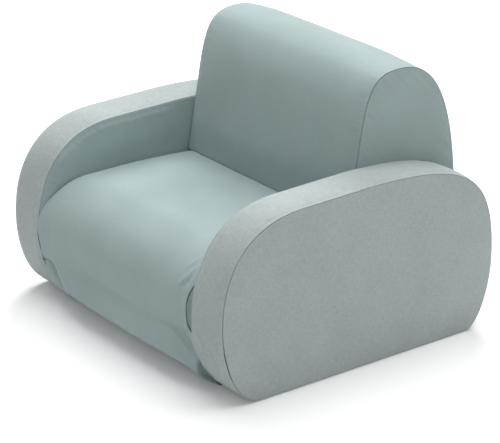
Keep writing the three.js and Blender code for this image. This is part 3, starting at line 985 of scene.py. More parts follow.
def split(columns, heights, at, width=0.3):
    """Sets two columns close together at each place where a zip pocket ends."""
    for place in at:
        far = np.abs(columns - place) > 1.2
        columns, heights = columns[far], heights[far]
        spot = np.searchsorted(columns, place)
        columns = np.insert(columns, spot, [place - width / 2, place + width / 2])
        heights = np.insert(heights, spot, [0, 0])
    return columns, heights


def even_rows(run, step):
    """Places all round a closed line."""
    count = round(run.length / step)
    return np.arange(count) * run.length / count


def band_grid(run, edge, step):
    """The band's rows and columns, with the zip pocket in its flat bottom."""
    fold = folded_edge()
    half = POCKET_WIDTH / 2
    inner, inner_heights = spaced(ARM_INNER, ARM_MIDDLE - half, edge, fold, step)
    outer, outer_heights = spaced(ARM_MIDDLE + half, ARM_OUTER, fold, edge, step)
    middle = ARM_MIDDLE + half / 2 * np.array([-1, 0, 1])
    across = np.concatenate([inner, middle, outer])
    heights = np.concatenate([inner_heights, [-POCKET_DEPTH] * 3, outer_heights])
    rows = even_rows(run, step)
    floor_start = run.along[np.flatnonzero(run.points[:, 1] < 0.01)[0]]
    ends = [floor_start + ARM_REAR - ARM_FOOT_REAR - y for y in (ARM_POCKET_REAR, ARM_POCKET_FRONT)]
    rows, _ = split(rows, 0 * rows, ends)
    in_rows = (rows > ends[0]) & (rows < ends[1])
    near_pocket = np.abs(across - ARM_MIDDLE) < half + fold[0][-1] + 0.1
    all_heights = np.where(near_pocket & ~in_rows[:, None], 0, heights)
    deep = np.abs(across - ARM_MIDDLE) < half + 0.1

    def kept(row, column):
        after = (row + 1) % len(rows)
        return not (in_rows[row] and in_rows[after] and deep[column] and deep[column + 1])

    return rows, across, all_heights, kept


def arm_skins(side, coarse=False):
    """The band round an arm's edge, and its outer and inner side panels."""
    run = arm_run()
    step = CLOTH_STEP if coarse else STEP
    edge = plain_edge() if coarse else seam_edge()
    if coarse:
        across, heights = spaced(ARM_INNER, ARM_OUTER, edge, edge, step)
        rows = even_rows(run, step)
        kept = None
    else:
        rows, across, heights, kept = band_grid(run, edge, step)
    along = np.broadcast_to(rows[:, None], (len(rows), len(across)))
    away = np.broadcast_to(np.minimum(across - ARM_INNER, ARM_OUTER - across), along.shape)
    heights = np.broadcast_to(heights, along.shape)
    free = away - edge[0][-1]
    band = strip(lambda x: run, along, side * across, heights, away, free, True, kept)
    outer = panel(run, side * ARM_OUTER, side, edge, step)
    inner = panel(run, side * ARM_INNER, -side, edge, step)
    return run, band, outer, inner


def band_crown(skin, crown):
    half = (ARM_OUTER - ARM_INNER) / 2
    share = np.abs(np.abs(skin.rest[:, 0]) - ARM_MIDDLE) / half
    skin.push(crown * rise(skin.rest[:, 2], 0, CROWN_RISE) * (1 - share**3))


def dome(skin, run, crown):
    share = dome_share(skin, run)
    skin.push(crown * rise(skin.rest[:, 2], 0, CROWN_RISE) * (1 - share**3))


# How the arms' inner seams lie at the front: level, and how far inboard and forward of the
# foam's edge, in millimetres. The near arm is the left one
SEAM_PULLS = {
    "left": (
        (0, 20, 45, 60, 73, 85, 100, 112, 150, 172, 186, 200, 225),
        (-4, -8, -3.5, 1, 4, 6.5, 5, 2, 1.5, 1, -0.5, -1, 0),
        (0, 1, 2.5, 2.5, 2.5, 2.5, 2.5, 2.5, 2.5, 2, 0.5, 0, 0),
    ),
    "right": (
        (0, 20, 45, 60, 73, 85, 100, 112, 130, 145, 160, 180, 200),
        (0, 0, 0, -0.5, -1, -1, -1.5, -2.5, -2.5, -1, 0, 0, 0),
        (0, 1, 1, 1, 1, 1.5, 2.5, 3, 3, 1.5, 0.5, 0, 0),
    ),
}


def pull_seam(skin, name, side, share, ahead=0):
    """Draws the fabric beside an arm's inner seam to where the stitching holds it."""
    levels, inboard, forward = SEAM_PULLS[name]
    level = skin.rest[:, 2]
    share = share * rise(-skin.rest[:, 1], 150, 200)
    skin.points[:, 0] -= side * share * eased_steps(levels, inboard)(level)
    further = ahead * rise(level, 5, 30) * rise(200 - level, 0, 50)
    skin.points[:, 1] -= share * (eased_steps(levels, forward)(level) + further)


def part_outer_seam(skin, reach, direction):
    """Draws fabric away from the near arm's outer seam, which stands open low at the front."""
    levels = eased_steps((0, 44, 58, 90, 104, 112), (0, 0, 1, 1, 0, 0))(skin.rest[:, 2])
    share = levels * near_share(reach, 9) * (skin.rest[:, 1] < -180)
    skin.points += share[:, None] * np.array(direction)


def near_share(distance, width):
    """1 at no distance, falling smoothly to 0 at the width."""
    return np.clip(1 - distance / width, 0, 1) ** 2


def held_points(skin, extra=None):
    """The coarse points that a simulation holds: the seams and what rests on the floor."""
    held = (skin.away < 1) | (skin.rest[:, 2] < 2)
    if extra is not None:
        held |= extra
    return np.flatnonzero(held)


def make_arm(name, side, sizes, seed, fabrics):
    run, band, outer, inner = arm_skins(side)
    _, rough_band, rough_outer, _ = arm_skins(side, coarse=True)
    for skin in (band, rough_band):
        band_crown(skin, sizes.band_crown)
    for skin in (outer, rough_outer):
        dome(skin, run, sizes.panel_crown)
    jobs = [
        (band, rough_band, held_points(rough_band)),
        (outer, rough_outer, held_points(rough_outer)),
    ]
    swell(jobs, sizes.pressure, ARM_SWELL)
    unsettle(band, rise(band.rest[:, 2], 0, 30), BAND_BUMPS, seed)
    unsettle(outer, rise(outer.away, 0, 60), OUTER_BUMPS, seed + 1)
    band_measure = band.weave[:, 1] + 3 * np.sign(band.rest[:, 0] * side - ARM_MIDDLE)
    pucker(band, band_measure, size=0.35, pitch=17, seed=seed + 2)
    for skin, number in ((outer, 3), (inner, 4)):
        around = np.arctan2(skin.rest[:, 2] - 140, skin.rest[:, 1]) * 230
        pucker(skin, around, size=0.3, pitch=19, seed=seed + number)
    puff = rise(inner.rest[:, 2], SEAT_HEIGHT + 6, SEAT_HEIGHT + 40)
    front_of_back = rise(CREASE_Y - 12 - inner.rest[:, 1], 0, 40)
    inner.push(2.2 * puff * front_of_back * rise(inner.away, 0, 14))
    press_folds(band, f"{name} band")
    pull_seam(band, name, side, near_share(np.abs(band.rest[:, 0]) - ARM_INNER, PULL_WIDTH))
    pull_seam(inner, name, side, near_share(inner.away, 20))
    if side > 0:
        part_outer_seam(band, ARM_OUTER - band.rest[:, 0], (-0.9, 0.3, 0))
        part_outer_seam(outer, outer.away, (0, 1.0, 0.3))
    make_cover(f"{name}_arm_band", band, "arm", fabrics)
    make_cover(f"{name}_arm_outer_panel", outer, "arm", fabrics)
    make_cover(f"{name}_arm_inner_panel", inner, "seat", fabrics)


def crease_edge():
    """Where the seat and the back meet: both roll over into the joint between them."""
    return turned_edge(radius=4, wedge=math.radians(135), depth=6)


def seat_fall(level):
    """How far the seat cover's side seam lies below the face between the arms."""
    return mix(FRONT_FALL, TOP_FALL, rise(level, 150, 196))


def unit_strip(run_at, along, across, heights, side_edge, free_ends, kept=None):
    """Fabric from one side seam of the seat and back unit to the other."""
    along = np.broadcast_to(along, (len(along), len(across)))
    away = np.broadcast_to(UNIT_HALF - np.abs(across), along.shape)
    free = np.minimum(away - side_edge[0][-1], free_ends[:, None])
    return strip(run_at, along, across, heights, away, free, kept=kept)


def seat_skin(coarse=False):
    """The panel up the front, round the roll and back to the crease."""
    step = CLOTH_STEP if coarse else STEP
    side_edge = plain_edge() if coarse else hidden_edge()
    end_edge = plain_edge() if coarse else crease_edge()
    foot_edge = plain_edge() if coarse else floor_edge()
    across, side_heights = spaced(-UNIT_HALF, UNIT_HALF, side_edge, side_edge, step)
    middle = seat_run(0).length
    shares, end_heights = spaced(0, middle, foot_edge, end_edge, step)
    free_ends = np.minimum(shares - foot_edge[0][-1], middle - end_edge[0][-1] - shares)
    runs = {x: seat_run(x) for x in across}
    along = np.stack([shares / middle * runs[x].length for x in across], 1)
    heights = end_heights[:, None] + side_heights
    return unit_strip(lambda x: runs[x], along, across, heights, side_edge, free_ends)


def seat_crown(skin, crown):
    share = np.abs(skin.rest[:, 0]) / UNIT_HALF
    full = rise(skin.rest[:, 2], 0, CROWN_RISE) * rise(CREASE_Y - skin.rest[:, 1], 0, CROWN_RISE)
    skin.push(crown * full * (1 - share**3))


# Where the seat cover's seams have come away from the left arm, 1, and the right arm, -1:
# level, and how far
OPENINGS = {
    1: (
        (0, 6, 14, 28, 42, 54, 88, 91, 95, 100, 107, 119, 133, 144, 156, 166, 176, 186, 195, 205),
        (6, 9, 14, 15, 12, 4, 0, 6, 13, 16, 17, 17, 16, 15, 14, 13, 12, 10.5, 7, 0),
    ),
    -1: ((0, 90, 97, 103, 110, 116, 122), (0, 0, 2, 3.5, 3, 1.5, 0)),
}


def part_from_arm(skin, side, share):
    """Bows the seat cover and its side panel away from an arm."""
    front = rise(-skin.rest[:, 1], 182, 212)
    bow = eased_steps(*OPENINGS[side])(skin.rest[:, 2]) * front * (skin.rest[:, 0] * side > 0)
    skin.points[:, 0] -= side * share * bow


# How far the stitching beside each arm draws the seat's fabric ahead, and how far it draws
# it snug against the arm
AHEAD = {"left": 2.5, "right": 4.5}
SNUG = {"left": 1.3, "right": 2.4}

# How the fabric moves in the hollow at the foot of the near arm's seam, and how far the side
# panel falls back behind the opening's edge
HOLLOW_MOVE = (-1, 14, 5)
SIDE_SETBACK = 3.5


def seat_edges(skin, distance, fall=True):
    """Shapes the seat unit's fabric beside the arms: the fall to its seams, the pull of the
    stitching at the front, and the opening beside the near arm. The side panels and the
    underside have no fall."""
    x, y, z = skin.rest.T
    if fall:
        drop = seat_fall(z) * near_share(distance, FALL_WIDTH)
        skin.points -= skin.outward * drop[:, None]
    for name, side in (("left", 1), ("right", -1)):
        share = near_share(distance, PULL_WIDTH) * (x * side > 0)
        pull_seam(skin, name, side, share, ahead=AHEAD[name])
        lens = rise(z, 60, 95)
        if fall:
            width = mix(14, 45, lens) if side > 0 else 12
        else:
            width = mix(45, 16, lens)
        part_from_arm(skin, side, near_share(distance, width))
        front = rise(-y, 150, 200) * rise(195 - z, 0, 30)
        snug = SNUG[name] * front * (share > 0)
        skin.points[:, 0] += side * snug * near_share(distance, 10)
    hollow = near_share(distance, 8) * rise(54 - z, 0, 22) * rise(z, 2, 12)
    hollow *= (x > 0) * (y < 0)
    skin.points += hollow[:, None] * np.array(HOLLOW_MOVE)
    if not fall:
        depth = rise(y, -251, -248) * rise(-226 - y, 0, 8)
        depth *= rise(z, 88, 100) * rise(200 - z, 0, 25)
        skin.points[:, 0] -= SIDE_SETBACK * depth * (x > 0)


def make_seat(sizes, fabrics):
    fine, rough = seat_skin(), seat_skin(coarse=True)
    for skin in (fine, rough):
        seat_crown(skin, sizes.seat_crown)
    low_front = rough.rest[:, 2] < 90
    crease = rough.rest[:, 1] > CREASE_Y - 3
    swell([(fine, rough, held_points(rough, low_front | crease))], sizes.pressure, UNIT_SWELL)
    unsettle(fine, rise(fine.rest[:, 2], 0, 60), SEAT_BUMPS, 31)
    press_folds(fine, "seat")
    seat_edges(fine, UNIT_HALF - np.abs(fine.rest[:, 0]))
    make_cover("seat_cover", fine, "seat", fabrics)


def pocket_rows(run, edge):
    """Rows from one end of a run to the rear zip: a fold at the pocket's lip, then the
    fabric beside the pocket. Returns the rows, their heights outside and inside the pocket,
    how far they lie from the end, and the row at the pocket's bottom."""
    lip = run.length - POCKET_WIDTH / 2 + SEAM_GAP
    rows, heights = spaced(0, lip, edge, folded_edge(), STEP)
    beside = (np.array([0.9]), np.zeros(1))
    more, more_heights = spaced(lip, run.length, beside, hidden_edge(), STEP)
    turned = len(edge[0])
    outside = np.concatenate([heights[:turned], 0 * heights[turned:], more_heights])
    within = np.concatenate([heights, 0 * more - POCKET_DEPTH])
    free = np.minimum(np.concatenate([rows, more]) - edge[0][-1], 30)
    return np.concatenate([rows, more]), outside, within, free, len(rows) - 1


def pocket_strip(run, edge):
    """A panel across the unit, from a turned edge to the rear zip."""
    side_edge = seam_edge()
    across, side_heights = spaced(-UNIT_HALF, UNIT_HALF, side_edge, side_edge, STEP)
    across, side_heights = split(across, side_heights, (-REAR_POCKET_HALF, REAR_POCKET_HALF))
    pocket = np.abs(across) < REAR_POCKET_HALF
    rows, outside, within, free_ends, bottom = pocket_rows(run, edge)
    heights = np.where(pocket, within[:, None], outside[:, None] + side_heights)

    def kept(row, column):
        return not (row >= bottom and pocket[column] and pocket[column + 1])

    return unit_strip(lambda x: run, rows[:, None], across, heights, side_edge, free_ends, kept)


def back_skin(coarse=False):
    """The panel from the crease over the top and down to the rear zip."""
    run = back_run(REAR_ZIP_LEVEL + SEAM_GAP)
    if not coarse:
        return pocket_strip(run, crease_edge())
    edge = plain_edge()
    across, _ = spaced(-UNIT_HALF, UNIT_HALF, edge, edge, CLOTH_STEP)
    rows, _ = spaced(0, run.length, edge, edge, CLOTH_STEP)
    flat, anywhere = np.zeros((len(rows), len(across))), np.full(len(rows), np.inf)
    return unit_strip(lambda x: run, rows[:, None], across, flat, edge, anywhere)


def rear_skin():
    """The panel below the rear zip, from the floor round the foot and up."""
    rear = rear_points(REAR_ZIP_LEVEL - SEAM_GAP)[-1]
    skin = pocket_strip(Run(rear_foot()[::-1], [rear]), floor_edge())
    skin.outward *= -1
    return skin


def base_skin():
    """The underside between the front, the rear foot and the side panels."""
    run = Run([(REAR_Y - REAR_FOOT_RADIUS, 0), (SEAT_FRONT + SEAT_FOOT_DEPTH, 0)])
    side_edge, end_edge = seam_edge(), floor_edge()
    across, side_heights = spaced(-UNIT_HALF, UNIT_HALF, side_edge, side_edge, STEP * 2)
    rows, end_heights = spaced(0, run.length, end_edge, end_edge, STEP * 2)
    free_ends = np.minimum(rows, run.length - rows) - end_edge[0][-1]
    heights = end_heights[:, None] + side_heights
    return unit_strip(lambda x: run, rows[:, None], across, heights, side_edge, free_ends)


def back_crown(skin, crown):
    share = np.abs(skin.rest[:, 0]) / UNIT_HALF
    skin.push(crown * rise(skin.rest[:, 2] - CREASE_LEVEL, 0, CROWN_RISE) * (1 - share**3))


def gusset_run():
    front_and_rear = back_run(CREASE_LEVEL + SEAM_GAP)
    return Run(front_and_rear.points, closed=True).softened(5)


def seat_side_run(side):
    """The side panel's seam, which stays below the seat cover's falling edge."""
    front = seat_run(side * UNIT_HALF)
    along = np.linspace(0, front.length, 240)
    line = front.place(along)
    line = line - front.outward(along) * seat_fall(line[:, 1])[:, None]
    line = line[line[:, 1] > 0]
    rear = rear_points(CREASE_LEVEL - SEAM_GAP)[-1]
    lower = rear_points(REAR_ZIP_LEVEL)
    below = lower[lower[:, 1] < rear[1]]
    crease = (CREASE_Y, line[-1][1])
    return Run(line[:-1], [crease, rear], below, rear_foot(), closed=True).softened(5)


def make_back(sizes, fabrics):
    fine, rough = back_skin(), back_skin(coarse=True)
    for skin in (fine, rough):
        back_crown(skin, sizes.back_crown)
    low = rough.rest[:, 2] < CREASE_LEVEL + 8
    swell([(fine, rough, held_points(rough, low))], sizes.pressure, UNIT_SWELL)
    unsettle(fine, rise(fine.rest[:, 2], CREASE_LEVEL, 260), BACK_BUMPS, 51)
    pucker(fine, fine.weave[:, 1], size=0.35, pitch=19, seed=52)
    press_folds(fine, "back")
    make_cover("back_cover", fine, "seat", fabrics)
    run = gusset_run()
    for name, side, seed in (("left", 1, 61), ("right", -1, 71)):
        skin = panel(run, side * UNIT_HALF, side, seam_edge(), STEP)
        share = dome_share(skin, run)
        above = rise(skin.rest[:, 2], CREASE_LEVEL + 30, CREASE_LEVEL + 90)
        skin.push(sizes.gusset_crown * above * (1 - share**3))
        pucker(skin, skin.rest[:, 1] + skin.rest[:, 2], size=0.35, pitch=18, seed=seed)
        make_cover(f"{name}_back_gusset", skin, "seat", fabrics)


def make_sides(fabrics):
    """The unit's side, rear and base panels, most of them out of sight."""
    for name, side in (("left", 1), ("right", -1)):
        skin = panel(seat_side_run(side), side * UNIT_HALF, side, seam_edge(), STEP)
        seat_edges(skin, skin.away, fall=False)
        make_cover(f"{name}_seat_side", skin, "seat", fabrics)
    make_cover("rear_panel", rear_skin(), "seat", fabrics)
    base = base_skin()
    base.push(-0.4 * (1 + drift(base.rest, 60, 81)))
    seat_edges(base, UNIT_HALF - np.abs(base.rest[:, 0]), fall=False)
    make_cover("base_panel", base, "base", fabrics)


# Foam, zips and thread


def copied_mesh(node):
    """A CAD node's mesh with its triangles joined back into whole faces."""
    mesh = bpy.data.meshes.new(titled(node))
    shape = bmesh.new()
    shape.from_mesh(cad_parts[node].data)
    bmesh.ops.remove_doubles(shape, verts=shape.verts, dist=1e-6)
    bmesh.ops.dissolve_limit(
        shape, angle_limit=math.radians(1), verts=shape.verts, edges=shape.edges
    )
    shape.to_mesh(mesh)
    shape.free()
    return mesh


def eased_copy(node, material, body, edge):
    """A CAD node's shape with its edges rounded by a radius in millimetres."""
    mesh = copied_mesh(node)
    shape = bmesh.new()
    shape.from_mesh(mesh)
    sharp = [e for e in shape.edges if len(e.link_faces) == 2 and e.calc_face_angle() > 0.5]
    bmesh.ops.bevel(
        shape, geom=sharp, offset=edge * MM, offset_type="OFFSET", segments=2,
        profile=0.5, affect="EDGES", clamp_overlap=True,
    )
    shape.to_mesh(mesh)
    shape.free()
    mesh.shade_smooth()
    mesh.set_sharp_from_angle(angle=math.radians(50))
    lay_weave(mesh)
    place_piece(node, mesh, material, body)


def lay_weave(mesh):
    """Maps a small piece so that U runs along it and V across, in metres."""
    places = read_rows(mesh.vertices, "co")
    order = np.argsort(-np.ptp(places, axis=0))
    corners = read_rows(mesh.loops, "vertex_index", 1, np.int32)[:, 0]
    weave = mesh.uv_layers.new(name="weave")
    weave.data.foreach_set("uv", places[corners][:, order[:2]].ravel())


def make_foam(node, material):
    """A block of foam, cut to the CAD's shape, with worn corners and edges."""
    piece = place_piece(node, copied_mesh(node), material, "chair")
    remesh = piece.modifiers.new("Cells", "REMESH")
    remesh.mode = "VOXEL"
    remesh.voxel_size = 4 * MM
    remesh.use_smooth_shade = True
    smooth = piece.modifiers.new("Worn", "SMOOTH")
    smooth.factor = 0.5
    smooth.iterations = 8
    inset = piece.modifiers.new("Inset", "DISPLACE")
    inset.strength = -0.8 * MM
    inset.mid_level = 0
    if node == "seat_foam":
        step_back(piece)


# How far the seat's foam is set back, and between which places across and forward of the
# chair's middle the setback starts and is full, in metres
FOAM_SETBACK = 0.026
SETBACK_ACROSS = (0.145, 0.2)
SETBACK_FORWARD = (0.13, 0.2)


def step_back(piece):
    """Sets the seat foam back behind the opening beside the near arm."""
    graph = bpy.context.evaluated_depsgraph_get()
    mesh = bpy.data.meshes.new_from_object(piece.evaluated_get(graph))
    places = read_rows(mesh.vertices, "co", kind=float)
    side = rise(places[:, 0], *SETBACK_ACROSS) * rise(-places[:, 1], *SETBACK_FORWARD)
    places[:, 0] -= FOAM_SETBACK * side
    mesh.vertices.foreach_set("co", places.ravel())
    piece.modifiers.clear()
    piece.data = mesh


def tube(points, radius, toward):
    """The skin of a thread along a line of points, in millimetres."""
    points = np.asarray(points, float)
    ahead = np.gradient(points, axis=0)
    ahead /= np.linalg.norm(ahead, axis=1)[:, None]
    across = np.cross(ahead, toward)
    across /= np.linalg.norm(across, axis=1)[:, None]
    over = np.cross(across, ahead)
    turns = np.arange(THREAD_SIDES) * 2 * math.pi / THREAD_SIDES
    around = np.cos(turns)[:, None] * across[:, None] + np.sin(turns)[:, None] * over[:, None]
    skin = (points[:, None] + radius * around).reshape(-1, 3)
    last = len(skin) - THREAD_SIDES
    faces = []
    for here in range(0, last, THREAD_SIDES):
        after = here + THREAD_SIDES
        for side in range(THREAD_SIDES):
            turn = (side + 1) % THREAD_SIDES
            faces.append((here + side, here + turn, after + turn, after + side))
    faces.append(tuple(range(THREAD_SIDES))[::-1])
    faces.append(tuple(range(last, len(skin))))
    return skin, faces


def make_threads(node, lines, radius, toward, material):
    """One piece of several threads."""
    points, faces, count = [], [], 0
    for line in lines:
        skin, made = tube(line, radius, toward)
        points.append(skin)
        faces += [tuple(count + corner for corner in face) for face in made]
        count += len(skin)
    mesh = bpy.data.meshes.new(titled(node))
    mesh.from_pydata(np.vstack(points) * MM, [], faces)
    mesh.validate()
    shape = bmesh.new()
    shape.from_mesh(mesh)
    bmesh.ops.recalc_face_normals(shape, faces=shape.faces)
    shape.to_mesh(mesh)
    shape.free()
    mesh.shade_smooth()
    place_piece(node, mesh, material, "chair")


# How far apart the coil's turns are, the radii of its wire and of the threads, and how many
# sides they are drawn with
COIL_PITCH = 1.45
COIL_WIRE = 0.34
STITCH_THREAD = 0.28
TACK_THREAD = 0.26
THREAD_SIDES = 6

# How round the edges of tape and metal are, how far the stitching lies from a pocket, and
# its pitch and length
TAPE_EDGE = 0.15
METAL_EDGE = 0.25
STITCH_MARGIN = 3
STITCH_PITCH = 3.4
STITCH_LENGTH = 2.6


def make_coil(node, material):
    """One row of coil teeth: a polyester wire wound along the tape's edge."""
    low, high = node_box(node)
    long = int(np.argmax(high - low))
    others = [axis for axis in range(3) if axis != long]
    turns = int((high[long] - low[long] - 2 * COIL_WIRE) / COIL_PITCH)
    angle = np.linspace(0, turns * 2 * math.pi, turns * 10 + 1)
    line = np.empty((len(angle), 3))
    line[:, long] = mix(low[long] + COIL_WIRE, high[long] - COIL_WIRE, angle / angle[-1])
    for axis, wave in zip(others, (np.cos(angle), np.sin(angle))):
        half = (high[axis] - low[axis]) / 2 - COIL_WIRE
        line[:, axis] = (high[axis] + low[axis]) / 2 + half * wave
    make_threads(node, [line], COIL_WIRE, np.eye(3)[long], material)


def stitches(start, end, out):
    """Short threads along a seam, each sunk into the fabric at its ends."""
    start, end, out = (np.array(some, float) for some in (start, end, out))
    count = int(np.linalg.norm(end - start) / STITCH_PITCH)
    ahead = (end - start) / np.linalg.norm(end - start)
    shares = np.linspace(-1, 1, 7)
    lines = []
    for index in range(count):
        middle = start + ahead * STITCH_PITCH * (index + 0.5)
        lines.append([
            middle + ahead * share * STITCH_LENGTH / 2 - out * (0.05 + 0.55 * share**4)
            for share in shares
        ])
    return lines


def make_zip(name, metal, tape, coil, thread):
    for row in ("a", "b"):
        eased_copy(f"{name}_zip_tape_{row}", tape, "chair", TAPE_EDGE)
        make_coil(f"{name}_zip_teeth_{row}", coil)
    for word, body in (
        ("start_stop", "chair"),
        ("end_stop", "chair"),
        ("slider", f"{name}_slider"),
        ("pull", f"{name}_pull"),
    ):
        eased_copy(f"{name}_zip_{word}", metal, body, METAL_EDGE)
    reach = POCKET_WIDTH / 2 + STITCH_MARGIN
    lines = []
    if name == "rear":
        toward = (0, 1, 0)
        for z in (REAR_ZIP_LEVEL - reach, REAR_ZIP_LEVEL + reach):
            start = (-REAR_POCKET_HALF, REAR_Y, z)
            lines += stitches(start, (REAR_POCKET_HALF, REAR_Y, z), toward)
    else:
        toward = (0, 0, -1)
        side = 1 if name.startswith("left") else -1
        for x in (ARM_MIDDLE - reach, ARM_MIDDLE + reach):
            start = (side * x, ARM_POCKET_FRONT, 0)
            lines += stitches(start, (side * x, ARM_POCKET_REAR, 0), toward)
    make_threads(f"{name}_zip_stitching", lines, STITCH_THREAD, toward, thread)


# A tack's turns: how far apart they are, how far each slants, how far behind the node's
# middle their own middle is, and their half depth and half height
TACK_PITCH = 0.56
TACK_SLANT = 0.22
TACK_INWARD = 0.6
TACK_REACH = (0.5, 0.8)


def make_tack(name, side, thread):
    """A bar tack: core threads along the seam with others wound over them."""
    node = f"{name}_front_tack"
    low, high = node_box(node)
    middle = (low + high) / 2
    turns = np.linspace(0, 2 * math.pi, 13)[:-1]
    lines = []
    inner, outer = np.abs([low[0], high[0]]).min() - 4, np.abs([low[0], high[0]]).max() - 1
    for x in side * np.arange(inner, outer, TACK_PITCH):
        lines.append(np.stack([
            x + TACK_SLANT * turns / (2 * math.pi),
            middle[1] + TACK_INWARD + TACK_REACH[0] * np.sin(turns),
            middle[2] + TACK_REACH[1] * np.cos(turns),
        ], -1))
    for z in (middle[2] - 0.4, middle[2] + 0.4):
        ends = side * np.linspace(inner, outer, 5)
        lines.append([(x, middle[1] + TACK_INWARD, z) for x in ends])
    make_threads(node, lines, TACK_THREAD, (0.1, 0.99, 0.1), thread)


# Finishes of foam, zips and thread


def foam_finish():
    # Polyurethane foam, block cut: matt cream with open cells about 1 mm across, which are
    # drawn 2 mm across
    material, tree, shader = new_material("Cut polyurethane foam", Roughness=0.95, IOR=1.45)
    place = add_node(tree, "TexCoord").outputs["Object"]
    cells = add_node(tree, "TexVoronoi", [("Vector", place)], Scale=1 / (2 * MM))
    colour = linear("#E4DCC6")
    shades = tone(tree, cells, shade(colour, 0.72), colour, 0.05, 0.5)
    dents = add_node(tree, "Bump", [("Height", cells)], Strength=0.6, Distance=0.6 * MM)
    feed(shader, [("Base Color", shades), ("Normal", dents)])
    return material


def tape_finish():
    # Woven polyester zip tape: close ribs across its length, about 0.7 mm apart
    material, tree, shader = new_material(
        "Woven polyester zip tape", Roughness=0.8, Sheen_Weight=0.15
    )
    weave = add_node(tree, "UVMap", uv_map="weave")
    ribs = add_node(
        tree, "TexWave", [("Vector", weave)], bands_direction="X",
        Scale=METRE_BANDS / (0.7 * MM), Distortion=1.5, Detail=2.0,
    ).outputs["Fac"]
    colour = linear("#8E9C9C")
    shades = tone(tree, ribs, shade(colour, 0.7), shade(colour, 1.1), 0.1, 0.9)
    relief = add_node(tree, "Bump", [("Height", ribs)], Strength=0.7, Distance=0.15 * MM)
    feed(shader, [("Base Color", shades), ("Normal", relief)])
    return material


def coil_finish():
    # Polyester monofilament, heat-set into a coil: smooth, with a soft shine
    material, tree, shader = new_material("Heat-set polyester coil", Roughness=0.35, IOR=1.57)
    place = add_node(tree, "TexCoord").outputs["Object"]
    streaks = add_node(tree, "TexNoise", [("Vector", place)], Scale=1 / (1.5 * MM), Detail=2.0)
    colour = linear("#87959A")
    shades = tone(tree, streaks, shade(colour, 0.85), shade(colour, 1.1))
    feed(shader, [("Base Color", shades)])
    return material


def metal_finish():
    # Zinc, die-cast, tumbled and nickel plated: bright, slightly cloudy, with fine rubbing
    material, tree, shader = new_material("Nickel-plated die-cast zinc", Metallic=1.0)
    place = add_node(tree, "TexCoord").outputs["Object"]
    clouds = add_node(
        tree, "TexNoise", [("Vector", place)], Scale=1 / (2.5 * MM), Detail=4.0, Roughness=0.6
    )
    colour = linear("#BDBEB9")
    shades = tone(tree, clouds, shade(colour, 0.85), shade(colour, 1.05))
    dull = add_node(tree, "MapRange", [("Value", clouds), ("To Min", 0.24), ("To Max", 0.42)])
    relief = add_node(tree, "Bump", [("Height", clouds)], Strength=0.2, Distance=0.05 * MM)
    feed(shader, [("Base Color", shades), ("Roughness", dull), ("Normal", relief)])
    return material


def thread_finish():
    # Bonded polyester sewing thread: three twisted plies, a little darker than the fabric
    material, tree, shader = new_material(
        "Bonded polyester thread", Roughness=0.6, Sheen_Weight=0.1
    )
    place = add_node(tree, "TexCoord").outputs["Object"]
    twist = add_node(
        tree, "TexWave", [("Vector", place)], bands_direction="DIAGONAL",
        Scale=METRE_BANDS / (0.6 * MM), Distortion=2.0,
    ).outputs["Fac"]
    colour = linear("#7E8A8A")
    shades = tone(tree, twist, shade(colour, 0.7), shade(colour, 1.15), 0.2, 0.8)
    feed(shader, [("Base Color", shades)])
    return material


# Add-on


class ArmchairSizes(bpy.types.PropertyGroup):
    band_crown: bpy.props.FloatProperty(
        name="Band crown", description="How far the arms' bands rise between their seams, in mm",
        default=3.0, min=0, max=12,
    )
    panel_crown: bpy.props.FloatProperty(
        name="Panel crown", description="How far the arms' outer panels rise, in mm",
        default=4.0, min=0, max=12,
    )
    seat_crown: bpy.props.FloatProperty(
        name="Seat crown", description="How far the seat rises between the arms, in mm",
        default=5.0, min=0, max=15,
    )
    back_crown: bpy.props.FloatProperty(
        name="Back crown", description="How far the back rises between its side seams, in mm",
        default=6.0, min=0, max=15,
    )
    gusset_crown: bpy.props.FloatProperty(
        name="Gusset crown", description="How far the back's side panels rise, in mm",
        default=3.0, min=0, max=10,
    )
    pressure: bpy.props.FloatProperty(
        name="Cloth pressure", description="Pressure of the padding in the cloth simulation",
        default=4.0, min=0, max=20,
    )
    lens: bpy.props.FloatProperty(
        name="Lens", description="Focal length of the studio camera, in mm",
        default=170.7, min=20, max=300,
    )
    view_azimuth: bpy.props.FloatProperty(
        name="View azimuth", description="Turn of the camera from the front towards the left arm",
        default=math.radians(53.0), subtype="ANGLE", unit="ROTATION",
    )
    view_elevation: bpy.props.FloatProperty(
        name="View elevation", description="Height of the camera over the horizon",
        default=math.radians(22.3), subtype="ANGLE", unit="ROTATION",
    )
    view_distance: bpy.props.FloatProperty(
        name="View distance", description="From the camera to the point it looks at",
        default=3.6441, subtype="DISTANCE", unit="LENGTH",
    )
    view_target: bpy.props.FloatVectorProperty(
        name="View target", description="The point that the camera looks at",
        default=(0.0156, -0.0117, 0.1503), subtype="TRANSLATION", unit="LENGTH",
    )


class ArmchairColours(bpy.types.PropertyGroup):
    seat_fabric: bpy.props.FloatVectorProperty(
        name="Seat fabric", description="Colour of the seat, the back and the arms' inner sides",
        default=linear("#9BABAC"), subtype="COLOR", min=0, max=1,
    )
    arm_fabric: bpy.props.FloatVectorProperty(
        name="Arm fabric", description="Colour of the arms' bands and outer panels",
        default=linear("#A7B1B0"), subtype="COLOR", min=0, max=1,
    )
    base_fabric: bpy.props.FloatVectorProperty(
        name="Base fabric", description="Colour of the underside",
        default=linear("#6F7B7A"), subtype="COLOR", min=0, max=1,
    )


FINISHES = {}


def finish_of(name, make, *values):
    """A material made once and shared by the pieces that have it."""
    if name not in FINISHES:
        FINISHES[name] = make(*values)
    return FINISHES[name]


def fabrics_of(context):
    colours = context.scene.armchair_colours
    return {
        "seat": finish_of("seat", seat_fabric, colours),
        "arm": finish_of("arm", arm_fabric, colours),
        "base": finish_of("base", base_fabric, colours),
    }


